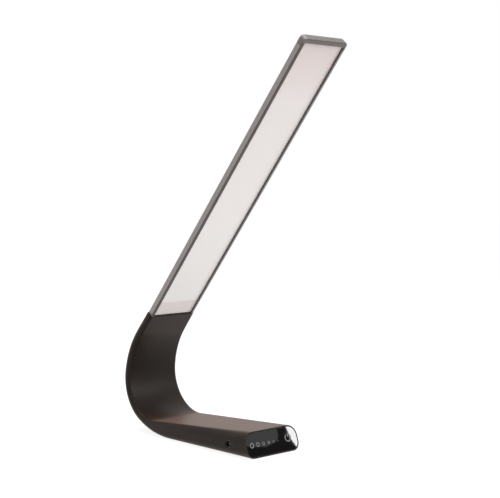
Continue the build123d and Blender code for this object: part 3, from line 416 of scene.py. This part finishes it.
# ---- Geometry Nodes ----
def start_tree(name, sizes):
    """A Geometry Nodes tree with a path input and named sizes, and its group input's sockets."""
    tree = bpy.data.node_groups.new(name, "GeometryNodeTree")
    tree.interface.new_socket("Geometry", in_out="OUTPUT", socket_type="NodeSocketGeometry")
    tree.interface.new_socket("Path", in_out="INPUT", socket_type="NodeSocketGeometry")
    for size in sizes:
        tree.interface.new_socket(size, in_out="INPUT", socket_type="NodeSocketFloat")
    return tree, node(tree, "NodeGroupInput").outputs


def end_tree(tree, geometry, material):
    """Ends a tree: real geometry, smooth faces and a material."""
    solid = node(tree, "GeometryNodeRealizeInstances", {"Geometry": geometry}).outputs[0]
    smooth = node(tree, "GeometryNodeSetShadeSmooth", {"Geometry": solid}).outputs[0]
    finish = {"Geometry": smooth, "Material": material}
    finished = node(tree, "GeometryNodeSetMaterial", finish).outputs[0]
    node(tree, "NodeGroupOutput", {"Geometry": finished})


def sleeve_tree():
    """A rounded tube along a path, with leaning sides and a side that swells outwards.

    The path runs along the tube's inner side. Each of its points carries the tube's thickness and
    the direction out of the bend, along which the profile's second axis is laid.
    """
    tree, size = start_tree(
        "bent_sleeve",
        ("Half Width", "Thickness", "Inner Edge Radius", "Outer Edge Radius", "Wall", "Lean", "Floor"),
    )
    place = node(tree, "GeometryNodeInputPosition").outputs[0]
    curve = node(tree, "GeometryNodeMeshToCurve", {"Mesh": size["Path"]}).outputs[0]
    path = node(tree, "GeometryNodeCaptureAttribute", {"Geometry": curve})
    path.capture_items.new("VECTOR", "Spot")
    tree.links.new(place, path.inputs["Spot"])

    width = node(tree, "ShaderNodeMath", {0: size["Half Width"], 1: 2.0}, operation="MULTIPLY")
    outline = node(
        tree,
        "GeometryNodeCurvePrimitiveQuadrilateral",
        {"Width": width.outputs[0], "Height": size["Thickness"]},
    ).outputs[0]
    depth = node(tree, "ShaderNodeSeparateXYZ", {0: place}).outputs["Y"]
    outer = node(tree, "ShaderNodeMath", {0: depth, 1: 0.0}, operation="GREATER_THAN").outputs[0]
    radius = node(
        tree,
        "ShaderNodeMix",
        {0: outer, 2: size["Inner Edge Radius"], 3: size["Outer Edge Radius"]},
    ).outputs[0]
    rounded = node(
        tree,
        "GeometryNodeFilletCurve",
        {"Curve": outline, "Radius": radius, "Count": EDGE_STEPS},
        mode="POLY",
    ).outputs[0]
    profile = node(tree, "GeometryNodeCaptureAttribute", {"Geometry": rounded})
    profile.capture_items.new("FLOAT", "Outer")
    profile.capture_items.new("VECTOR", "Corner")
    tree.links.new(outer, profile.inputs["Outer"])
    tree.links.new(place, profile.inputs["Corner"])
    tube = node(
        tree,
        "GeometryNodeCurveToMesh",
        {"Curve": path.outputs[0], "Profile Curve": profile.outputs[0]},
    ).outputs[0]

    # Where a point of the tube goes: its path point, plus its depth along the outward direction,
    # plus its place across.
    half = node(tree, "ShaderNodeMath", {0: size["Thickness"], 1: 0.5}, operation="MULTIPLY")
    corner = node(tree, "ShaderNodeSeparateXYZ", {0: profile.outputs["Corner"]}).outputs
    thickness = node(tree, "GeometryNodeInputNamedAttribute", {"Name": "thickness"}).outputs[0]
    extra = node(
        tree, "ShaderNodeMath", {0: thickness, 1: size["Thickness"]}, operation="SUBTRACT"
    ).outputs[0]
    swell = node(
        tree, "ShaderNodeMath", {0: extra, 1: profile.outputs["Outer"]}, operation="MULTIPLY"
    ).outputs[0]
    level = node(tree, "ShaderNodeMath", {0: corner["Y"], 1: half.outputs[0]}, operation="ADD")
    deep = node(tree, "ShaderNodeMath", {0: level.outputs[0], 1: swell}, operation="ADD").outputs[0]
    outward = node(
        tree, "GeometryNodeInputNamedAttribute", {"Name": "outward"}, data_type="FLOAT_VECTOR"
    ).outputs[0]
    push = node(tree, "ShaderNodeVectorMath", {0: outward, "Scale": deep}, operation="SCALE")
    across = node(tree, "ShaderNodeCombineXYZ", {"X": corner["X"]}).outputs[0]
    beside = node(
        tree, "ShaderNodeVectorMath", {0: path.outputs["Spot"], 1: across}, operation="ADD"
    ).outputs[0]
    spot = node(tree, "ShaderNodeVectorMath", {0: beside, 1: push.outputs[0]}, operation="ADD")
    upright = node(
        tree, "GeometryNodeSetPosition", {"Geometry": tube, "Position": spot.outputs[0]}
    ).outputs[0]

    # The sides lean in with height.
    here = node(tree, "ShaderNodeSeparateXYZ", {0: place}).outputs
    height = node(tree, "ShaderNodeMath", {0: size["Floor"], 1: here["Z"]}, operation="SUBTRACT")
    inset = node(
        tree, "ShaderNodeMath", {0: height.outputs[0], 1: size["Lean"]}, operation="MULTIPLY"
    ).outputs[0]
    hand = node(tree, "ShaderNodeMath", {0: here["X"]}, operation="SIGN").outputs[0]
    inward = node(tree, "ShaderNodeMath", {0: inset, 1: hand}, operation="MULTIPLY").outputs[0]
    lean = node(tree, "ShaderNodeCombineXYZ", {"X": inward}).outputs[0]
    skin = node(tree, "GeometryNodeSetPosition", {"Geometry": upright, "Offset": lean}).outputs[0]

    # The wall: the skin, and a lining that faces the other way.
    inside = node(tree, "ShaderNodeMath", {0: size["Wall"], 1: -1.0}, operation="MULTIPLY")
    lining = node(
        tree,
        "GeometryNodeExtrudeMesh",
        {"Mesh": skin, "Offset Scale": inside.outputs[0], "Individual": False},
    ).outputs[0]
    turned = node(tree, "GeometryNodeFlipFaces", {"Mesh": lining}).outputs[0]
    both = node(tree, "GeometryNodeJoinGeometry", {"Geometry": skin})
    tree.links.new(turned, both.inputs["Geometry"])
    doubles = {"Geometry": both.outputs[0], "Distance": DOUBLES_GAP}
    closed = node(tree, "GeometryNodeMergeByDistance", doubles).outputs[0]
    end_tree(tree, closed, finishes["soft_touch_silicone"])
    return tree


def lead_tree():
    """A round lead along a path, with closed ends."""
    tree, size = start_tree("round_lead", ("Radius",))
    curve = node(tree, "GeometryNodeMeshToCurve", {"Mesh": size["Path"]}).outputs[0]
    ring = {"Radius": size["Radius"], "Resolution": LEAD_SIDES}
    profile = node(tree, "GeometryNodeCurvePrimitiveCircle", ring).outputs[0]
    sweep = {"Curve": curve, "Profile Curve": profile, "Fill Caps": True}
    end_tree(tree, node(tree, "GeometryNodeCurveToMesh", sweep).outputs[0], finishes["lead_sheath"])
    return tree


def level_marks_tree():
    """A row of printed rings that get smaller and closer together, one for each point of the
    path. The row is laid out along X from the first ring, and the rings lie in the XY plane.
    """
    tree, size = start_tree(
        "level_marks", ("Pitch", "Pitch Loss", "Radius", "Radius Loss", "Line", "Height")
    )

    # A ring's place: every gap in the row is the pitch loss shorter than the gap before it.
    index = node(tree, "GeometryNodeInputIndex").outputs[0]
    run = node(tree, "ShaderNodeMath", {0: index, 1: size["Pitch"]}, operation="MULTIPLY")
    before = node(tree, "ShaderNodeMath", {0: index, 1: 1.0}, operation="SUBTRACT")
    pairs = node(
        tree, "ShaderNodeMath", {0: index, 1: before.outputs[0]}, operation="MULTIPLY"
    ).outputs[0]
    loss = node(tree, "ShaderNodeMath", {0: pairs, 1: size["Pitch Loss"]}, operation="MULTIPLY")
    half_loss = node(tree, "ShaderNodeMath", {0: loss.outputs[0], 1: 0.5}, operation="MULTIPLY")
    along = node(
        tree, "ShaderNodeMath", {0: run.outputs[0], 1: half_loss.outputs[0]}, operation="SUBTRACT"
    ).outputs[0]
    spot = node(tree, "ShaderNodeCombineXYZ", {"X": along}).outputs[0]
    spots = node(
        tree, "GeometryNodeSetPosition", {"Geometry": size["Path"], "Position": spot}
    ).outputs[0]

    # A ring's size, as a share of the first ring's.
    shrink = node(
        tree, "ShaderNodeMath", {0: index, 1: size["Radius Loss"]}, operation="MULTIPLY"
    ).outputs[0]
    radius = node(
        tree, "ShaderNodeMath", {0: size["Radius"], 1: shrink}, operation="SUBTRACT"
    ).outputs[0]
    scale = node(
        tree, "ShaderNodeMath", {0: radius, 1: size["Radius"]}, operation="DIVIDE"
    ).outputs[0]
    scales = node(tree, "ShaderNodeCombineXYZ", {"X": scale, "Y": scale, "Z": 1.0}).outputs[0]

    # The first ring, drawn with a flat stroke.
    ring = node(
        tree, "GeometryNodeCurvePrimitiveCircle", {"Radius": size["Radius"], "Resolution": RING_SIDES}
    ).outputs[0]
    stroke = node(
        tree,
        "GeometryNodeCurvePrimitiveQuadrilateral",
        {"Width": size["Line"], "Height": size["Height"]},
    ).outputs[0]
    printed = node(
        tree, "GeometryNodeCurveToMesh", {"Curve": ring, "Profile Curve": stroke}
    ).outputs[0]
    row = node(
        tree,
        "GeometryNodeInstanceOnPoints",
        {"Points": spots, "Instance": printed, "Scale": scales},
    ).outputs[0]
    end_tree(tree, row, level_ink)
    return tree


def path_mesh(name, points):
    """A chain of edges through points."""
    mesh = bpy.data.meshes.new(name)
    mesh.from_pydata(points, [(i, i + 1) for i in range(len(points) - 1)], [])
    return mesh


def grown(name, path, tree, sizes):
    """The plain mesh that a Geometry Nodes tree makes of a path; sizes are in millimetres."""
    host = bpy.data.objects.new(name, path)
    bpy.context.scene.collection.objects.link(host)
    grower = host.modifiers.new("grower", "NODES")
    grower.node_group = tree
    for socket in tree.interface.items_tree:
        if socket.in_out == "INPUT" and socket.name in sizes:
            grower[socket.identifier] = sizes[socket.name]
    drawn = host.evaluated_get(bpy.context.evaluated_depsgraph_get())
    mesh = bpy.data.meshes.new_from_object(drawn)
    mesh.name = name
    bpy.data.objects.remove(host)
    bpy.data.meshes.remove(path)
    return mesh


def new_piece(name, mesh, slot, finish=None):
    """A finished mesh as a piece of the object, with its record slot's finish or its own."""
    piece = bpy.data.objects.new(name, mesh)
    bpy.context.scene.collection.objects.link(piece)
    mesh.materials.clear()
    mesh.materials.append(finish or finishes[slot])
    return piece


sleeve_sizes = {
    "Half Width": BASE_WIDTH / 2 * MM,
    "Thickness": ARM_THICKNESS * MM,
    "Inner Edge Radius": TOP_EDGE_R * MM,
    "Outer Edge Radius": BOTTOM_EDGE_R * MM,
    "Wall": SLEEVE_WALL * MM,
    "Lean": side_lean,
    "Floor": UNDERSIDE * MM,
}
bent_sleeve = sleeve_tree()
round_lead = lead_tree()

for number in range(1, HINGE_COUNT + 1):
    start = (number - 1) * hinge_pitch
    stations = [start + hinge_pitch * step / SLEEVE_STEPS for step in range(SLEEVE_STEPS + 1)]
    lines = [inner_line(station) for station in stations]
    sleeve_path = path_mesh("sleeve_path", [in_metres(0, point) for point, heading in lines])
    thickness = sleeve_path.attributes.new("thickness", "FLOAT", "POINT")
    outward = sleeve_path.attributes.new("outward", "FLOAT_VECTOR", "POINT")
    for i, (point, heading) in enumerate(lines):
        thickness.data[i].value = band_thickness(stations[i]) * MM
        outward.data[i].vector = (0, *-left_of(heading))
    lead_path = path_mesh(
        "lead_path",
        [in_metres(LEAD_X, point - left_of(h) * ARM_THICKNESS / 2) for point, h in lines],
    )
    sleeve = new_piece(
        f"silicone_sleeve_{number}",
        grown(f"silicone_sleeve_{number}", sleeve_path, bent_sleeve, sleeve_sizes),
        "soft_touch_silicone",
    )
    sleeve.data.set_sharp_from_angle(angle=math.radians(SHARP_ANGLE))
    lead = new_piece(
        f"bending_lead_{number}",
        grown(f"bending_lead_{number}", lead_path, round_lead, {"Radius": LEAD_R * MM}),
        "lead_sheath",
    )
    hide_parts(f"arm_sleeve_{number}")
    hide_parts(f"arm_lead_{number}")
    for piece in (sleeve, lead):
        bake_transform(piece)

# ---- Marks on the touch panel ----
LEVEL_COUNT = 6              # rings
LEVEL_START_X = -25.95
LEVEL_HEIGHT = 12.4          # up the panel from the underside's edge
LEVEL_PITCH = 7.6            # from the first ring to the second
LEVEL_PITCH_LOSS = 0.4       # from one gap to the next
LEVEL_R = 2.1                # of the first ring's middle line
LEVEL_R_LOSS = 0.31          # from one ring to the next
LEVEL_LINE = 0.6
POWER_X = 21.1
POWER_HEIGHT = 13.4
POWER_R = 3.5                # of the ring's middle line
POWER_LINE = 1.2
POWER_GAP = 36.0             # half angle of the gap in the ring, in degrees
POWER_BAR = (0.25, 0.75, 1.25)    # points of the bar, as shares of the ring's radius
INK_THICKNESS = 0.04
INK_LIFT = 0.01              # of the ink's middle above the panel's face

panel_turn = Matrix((
    (1, 0, 0),
    (0, panel_up.x, panel_out.x),
    (0, panel_up.y, panel_out.y),
)).to_4x4()


def on_panel(mesh, x, height):
    """Moves a mesh drawn in the XY plane onto the panel's face."""
    spot = panel_foot + panel_up * height + panel_out * INK_LIFT
    mesh.transform(Matrix.Translation(in_metres(x, spot)) @ panel_turn)


level_row = path_mesh("level_row", [(i * LEVEL_PITCH * MM, 0, 0) for i in range(LEVEL_COUNT)])
level_sizes = {
    "Pitch": LEVEL_PITCH * MM,
    "Pitch Loss": LEVEL_PITCH_LOSS * MM,
    "Radius": LEVEL_R * MM,
    "Radius Loss": LEVEL_R_LOSS * MM,
    "Line": LEVEL_LINE * MM,
    "Height": INK_THICKNESS * MM,
}
level_mesh = grown("level_marks", level_row, level_marks_tree(), level_sizes)
on_panel(level_mesh, LEVEL_START_X, LEVEL_HEIGHT)
level_marks = new_piece("level_marks", level_mesh, "gloss_acrylic", level_ink)
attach(level_marks, "base")


def stroke_mesh(name, lines, width):
    """Flat printed strokes of one width along lines in the XY plane, as thin solids."""
    work = bmesh.new()
    half = width / 2
    for line in lines:
        rails = []
        for i, point in enumerate(line):
            ahead = line[min(i + 1, len(line) - 1)] - line[max(i - 1, 0)]
            side = Vector((-ahead.y, ahead.x)).normalized() * half
            rails.append([
                work.verts.new(Vector((*(point + side * s), z * INK_THICKNESS / 2)) * MM)
                for s, z in ((1, 1), (-1, 1), (-1, -1), (1, -1))
            ])
        for first, second in zip(rails, rails[1:]):
            for i in range(4):
                j = (i + 1) % 4
                work.faces.new((first[i], first[j], second[j], second[i]))
        work.faces.new(rails[0])
        work.faces.new(rails[-1][::-1])
    bmesh.ops.recalc_face_normals(work, faces=work.faces)
    mesh = bpy.data.meshes.new(name)
    work.to_mesh(mesh)
    work.free()
    return mesh


RING_STEPS = 40
ring_sweep = 360 - 2 * POWER_GAP
power_ring = [
    toward(90 + POWER_GAP + ring_sweep * step / RING_STEPS) * POWER_R
    for step in range(RING_STEPS + 1)
]
power_bar = [Vector((0, POWER_R * share)) for share in POWER_BAR]
power_mesh = stroke_mesh("power_key_mark", (power_ring, power_bar), POWER_LINE)
on_panel(power_mesh, POWER_X, POWER_HEIGHT)
power_mark = new_piece("power_key_mark", power_mesh, "gloss_acrylic", power_ink)
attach(power_mark, "base")

# ---- Painted shade strips of the head ----
# Painted shade: dark strips stand in for the shade along the head's rails and its end. A dark strip
# runs down the inner side of each rail. The left one goes on over the lip and round its front edge,
# and the right one ends at the lip. A third strip lies across the end lip, next to the head's end.
SHADE_STRIP_SKIN = 0.05                  # above the lip and in from the rail
SHADE_STRIP_SEAT = 0.02                  # pressed into the lip and the rail
SHADE_STRIP_LAP = 0.25                   # of the right strip, out over its lip
SHADE_STRIP_WRAP = 1.1                   # of the left strip, down the head's side
WRAP_STEPS = 5                    # around that edge
END_STRIP_REACH = 0.95           # from the head's end to the middle of the third strip
END_STRIP_WIDTH = 1.0
END_STRIP_HALF_LENGTH = 24.5

head_axis = toward(END_HEADING)
head_out = left_of(END_HEADING)
head_front = head_origin + head_out * HEAD_THICKNESS / 2
window_half = BAND_WIDTH / 2 - HEAD_SIDE_STEP - LIP_WIDTH


def on_head(x, distance, rise):
    """Scene point at a place across the head, along it from the collar, and above its lips."""
    return in_metres(x, head_front + head_axis * distance + head_out * rise)


def add_prism(work, first, second):
    """A straight solid between two outlines with the same number of points."""
    ends = [[work.verts.new(point) for point in outline] for outline in (first, second)]
    for i in range(len(first)):
        j = (i + 1) % len(first)
        work.faces.new((ends[0][i], ends[0][j], ends[1][j], ends[1][i]))
    for end in ends:
        work.faces.new(end)


def edge_arc(radius, start, stop):
    """Points around a rail's front edge, as (out over the lip, rise), between two angles."""
    middle = Vector((LIP_WIDTH - FRAME_EDGE_R, -FRAME_EDGE_R))
    turns = [start + (stop - start) * step / WRAP_STEPS for step in range(WRAP_STEPS + 1)]
    return [middle + toward(turn) * radius for turn in turns]


shade_strip_inside = [(-SHADE_STRIP_SKIN, -RECESS), (-SHADE_STRIP_SKIN, SHADE_STRIP_SKIN)]
shade_strip_seat = [(SHADE_STRIP_SEAT, -SHADE_STRIP_SEAT), (SHADE_STRIP_SEAT, -RECESS)]
shade_strip_outlines = {
    -1: (
        shade_strip_inside
        + edge_arc(FRAME_EDGE_R + SHADE_STRIP_SKIN, 90, 0)
        + [(LIP_WIDTH + SHADE_STRIP_SKIN, -SHADE_STRIP_WRAP), (LIP_WIDTH - SHADE_STRIP_SEAT, -SHADE_STRIP_WRAP)]
        + edge_arc(FRAME_EDGE_R - SHADE_STRIP_SEAT, 0, 90)
        + shade_strip_seat
    ),
    1: shade_strip_inside + [(SHADE_STRIP_LAP, SHADE_STRIP_SKIN), (SHADE_STRIP_LAP, -SHADE_STRIP_SEAT)] + shade_strip_seat,
}
shade_strip_work = bmesh.new()
for hand, outline in shade_strip_outlines.items():
    root_end, tip_end = [
        [on_head(hand * (window_half + out), distance, rise) for out, rise in outline]
        for distance in (HEAD_GAP, HEAD_LENGTH - END_LIP)
    ]
    add_prism(shade_strip_work, root_end, tip_end)
end_strip_left, end_strip_right = [
    [
        on_head(x, HEAD_LENGTH - END_STRIP_REACH + END_STRIP_WIDTH * along, rise)
        for along, rise in ((-0.5, -SHADE_STRIP_SEAT), (0.5, -SHADE_STRIP_SEAT), (0.5, SHADE_STRIP_SKIN), (-0.5, SHADE_STRIP_SKIN))
    ]
    for x in (-END_STRIP_HALF_LENGTH, END_STRIP_HALF_LENGTH)
]
add_prism(shade_strip_work, end_strip_left, end_strip_right)
bmesh.ops.recalc_face_normals(shade_strip_work, faces=shade_strip_work.faces)
shade_strip_mesh = bpy.data.meshes.new("painted_shade_strips")
shade_strip_work.to_mesh(shade_strip_mesh)
shade_strip_work.free()
# The head's dark strips are painted shade.
painted_shade_strips = new_piece("painted_shade_strips", shade_strip_mesh, "foot_rubber", painted_shade_rubber)
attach(painted_shade_strips, "head")

# ---- Camera ----
CAMERA_PLACE = Vector((-0.76424, -0.86694, 0.26005))
CAMERA_AZIMUTH = math.radians(-42.265)
CAMERA_PITCH = math.radians(3.254)
FOCAL_PIXELS = 1177.4
IMAGE_WIDTH = 500
SENSOR_WIDTH = 36.0

camera_data = bpy.data.cameras.new("camera")
camera = bpy.data.objects.new("camera", camera_data)
bpy.context.scene.collection.objects.link(camera)
camera_data.sensor_width = SENSOR_WIDTH
camera_data.lens = FOCAL_PIXELS / IMAGE_WIDTH * SENSOR_WIDTH
right = Vector((math.cos(CAMERA_AZIMUTH), math.sin(CAMERA_AZIMUTH), 0))
forward = Vector((
    -math.sin(CAMERA_AZIMUTH) * math.cos(CAMERA_PITCH),
    math.cos(CAMERA_AZIMUTH) * math.cos(CAMERA_PITCH),
    -math.sin(CAMERA_PITCH),
))
up = right.cross(forward)
camera.matrix_world = Matrix((
    (right.x, up.x, -forward.x, CAMERA_PLACE.x),
    (right.y, up.y, -forward.y, CAMERA_PLACE.y),
    (right.z, up.z, -forward.z, CAMERA_PLACE.z),
    (0, 0, 0, 1),
))
camera_data.clip_start = 0.05
camera_data.clip_end = 100.0
bpy.context.scene.camera = camera

# ---- Studio: white floor and world, a large soft lamp above and one at the front ----
FLOOR_HALF_SIZE = 6.0        # metres
FLOOR_DROP = 0.0002          # metres, keeps the floor clear of the foot pad
PAPER_GREY = 0.82
FLOOR_SHADE = 0.22           # share of the floor's look that shows its shadows
WORLD_LEVEL = 0.55

scene = bpy.context.scene
scene.view_settings.view_transform = "Standard"


def seen_directly(tree):
    """1 for what the camera sees, straight or in metal and glass, and 0 for the light itself."""
    rays = node(tree, "ShaderNodeLightPath").outputs
    straight = {0: rays["Is Camera Ray"], 1: rays["Is Glossy Ray"]}
    seen = node(tree, "ShaderNodeMath", straight, operation="MAXIMUM").outputs[0]
    through = {0: seen, 1: rays["Is Transmission Ray"]}
    return node(tree, "ShaderNodeMath", through, operation="MAXIMUM").outputs[0]


def studio_sheet(name, corners, material):
    """A flat sheet of the studio, which isn't part of the lamp."""
    mesh = bpy.data.meshes.new(name)
    mesh.from_pydata(corners, [], [range(len(corners))])
    mesh.materials.append(material)
    sheet = bpy.data.objects.new(name, mesh)
    scene.collection.objects.link(sheet)
    return sheet


paper = bpy.data.materials.new("white_seamless_paper")
paper.use_nodes = True
tree = paper.node_tree
tree.nodes.clear()
lit = node(tree, "ShaderNodeBsdfDiffuse", {"Color": (PAPER_GREY, PAPER_GREY, PAPER_GREY, 1)})
faint = node(tree, "ShaderNodeBsdfDiffuse", {"Color": (FLOOR_SHADE, FLOOR_SHADE, FLOOR_SHADE, 1)})
glow = node(tree, "ShaderNodeEmission", {"Strength": 1 - FLOOR_SHADE * WORLD_LEVEL})
white = node(tree, "ShaderNodeAddShader", {0: faint.outputs[0], 1: glow.outputs[0]})
look = {0: seen_directly(tree), 1: lit.outputs[0], 2: white.outputs[0]}
mix = node(tree, "ShaderNodeMixShader", look)
node(tree, "ShaderNodeOutputMaterial", {"Surface": mix.outputs[0]})
floor_corners = [
    (x * FLOOR_HALF_SIZE, y * FLOOR_HALF_SIZE, -FLOOR_DROP)
    for x, y in ((-1, -1), (1, -1), (1, 1), (-1, 1))
]
studio_sheet("studio_floor", floor_corners, paper)

world = bpy.data.worlds.new("studio")
scene.world = world
world.use_nodes = True
tree = world.node_tree
tree.nodes.clear()
dim = node(tree, "ShaderNodeBackground", {"Color": (1, 1, 1, 1), "Strength": WORLD_LEVEL})
white = node(tree, "ShaderNodeBackground", {"Color": (1, 1, 1, 1), "Strength": 1.0})
look = {0: seen_directly(tree), 1: dim.outputs[0], 2: white.outputs[0]}
mix = node(tree, "ShaderNodeMixShader", look)
node(tree, "ShaderNodeOutputWorld", {"Surface": mix.outputs[0]})


def soft_lamp(name, place, aim, size, watts):
    """A square area lamp at a place, facing a point; places and size are in metres."""
    data = bpy.data.lights.new(name, "AREA")
    data.size = size
    data.energy = watts
    lamp = bpy.data.objects.new(name, data)
    scene.collection.objects.link(lamp)
    lamp.location = place
    lamp.rotation_mode = "QUATERNION"
    lamp.rotation_quaternion = (Vector(aim) - Vector(place)).to_track_quat("-Z", "Y")


soft_lamp("overhead_softbox", place=(0.1, 0.2, 1.5), aim=(0, 0, 0.1), size=1.2, watts=16.0)
soft_lamp("front_softbox", place=(0.7, -1.3, 0.9), aim=(0, 0, 0.15), size=0.9, watts=9.0)

# ---- Cards that only the glossy surfaces see: the panel mirrors them towards the camera ----
# Card places are millimetres sideways and up from a point that lies straight in the mirror
# direction of the panel's middle.
CARD_REACH = 1200.0          # from the panel's middle
GREY_CARD_LEVEL = 1.0
BLACK_CARD_LEVEL = 0.12
SOFTBOX_LEVEL = 19.0
view = (in_metres(0, (panel_foot + panel_top) / 2) - CAMERA_PLACE).normalized()
panel_normal = Vector((0, panel_out.x, panel_out.y))
mirrored = view.reflect(panel_normal)
card_middle = in_metres(0, (panel_foot + panel_top) / 2) + mirrored * CARD_REACH * MM
card_right = mirrored.cross(Vector((0, 0, 1))).normalized()
card_up = card_right.cross(mirrored)


def card(name, level, corners, nearer=0.0):
    """A glowing card that faces the panel; its corners are sideways and up, in millimetres."""
    material = bpy.data.materials.new(name)
    material.use_nodes = True
    tree = material.node_tree
    tree.nodes.clear()
    glow = node(tree, "ShaderNodeEmission", {"Strength": level})
    node(tree, "ShaderNodeOutputMaterial", {"Surface": glow.outputs[0]})
    points = [
        card_middle - mirrored * nearer * MM + (card_right * x + card_up * y) * MM
        for x, y in corners
    ]
    sheet = studio_sheet(name, points, material)
    sheet.visible_camera = False
    sheet.visible_diffuse = False
    sheet.visible_shadow = False
    sheet.visible_transmission = False


BLACK_CARD = ((-85, -50), (75, -50), (75, 50), (-85, 50))
GREY_CARD = (
    (52, 45), (52, 12), (45, 8), (15, -5), (-4, -4), (-10, -2), (-16, 7), (-18, 22), (-18, 45)
)
SOFTBOX = ((-35, 45), (-36, 3), (-35, -5), (-37, -15), (-43, -40), (-80, -40), (-80, 45))
card("black_card", BLACK_CARD_LEVEL, BLACK_CARD)
card("grey_card", GREY_CARD_LEVEL, GREY_CARD, nearer=5.0)
card("low_softbox", SOFTBOX_LEVEL, SOFTBOX, nearer=10.0)
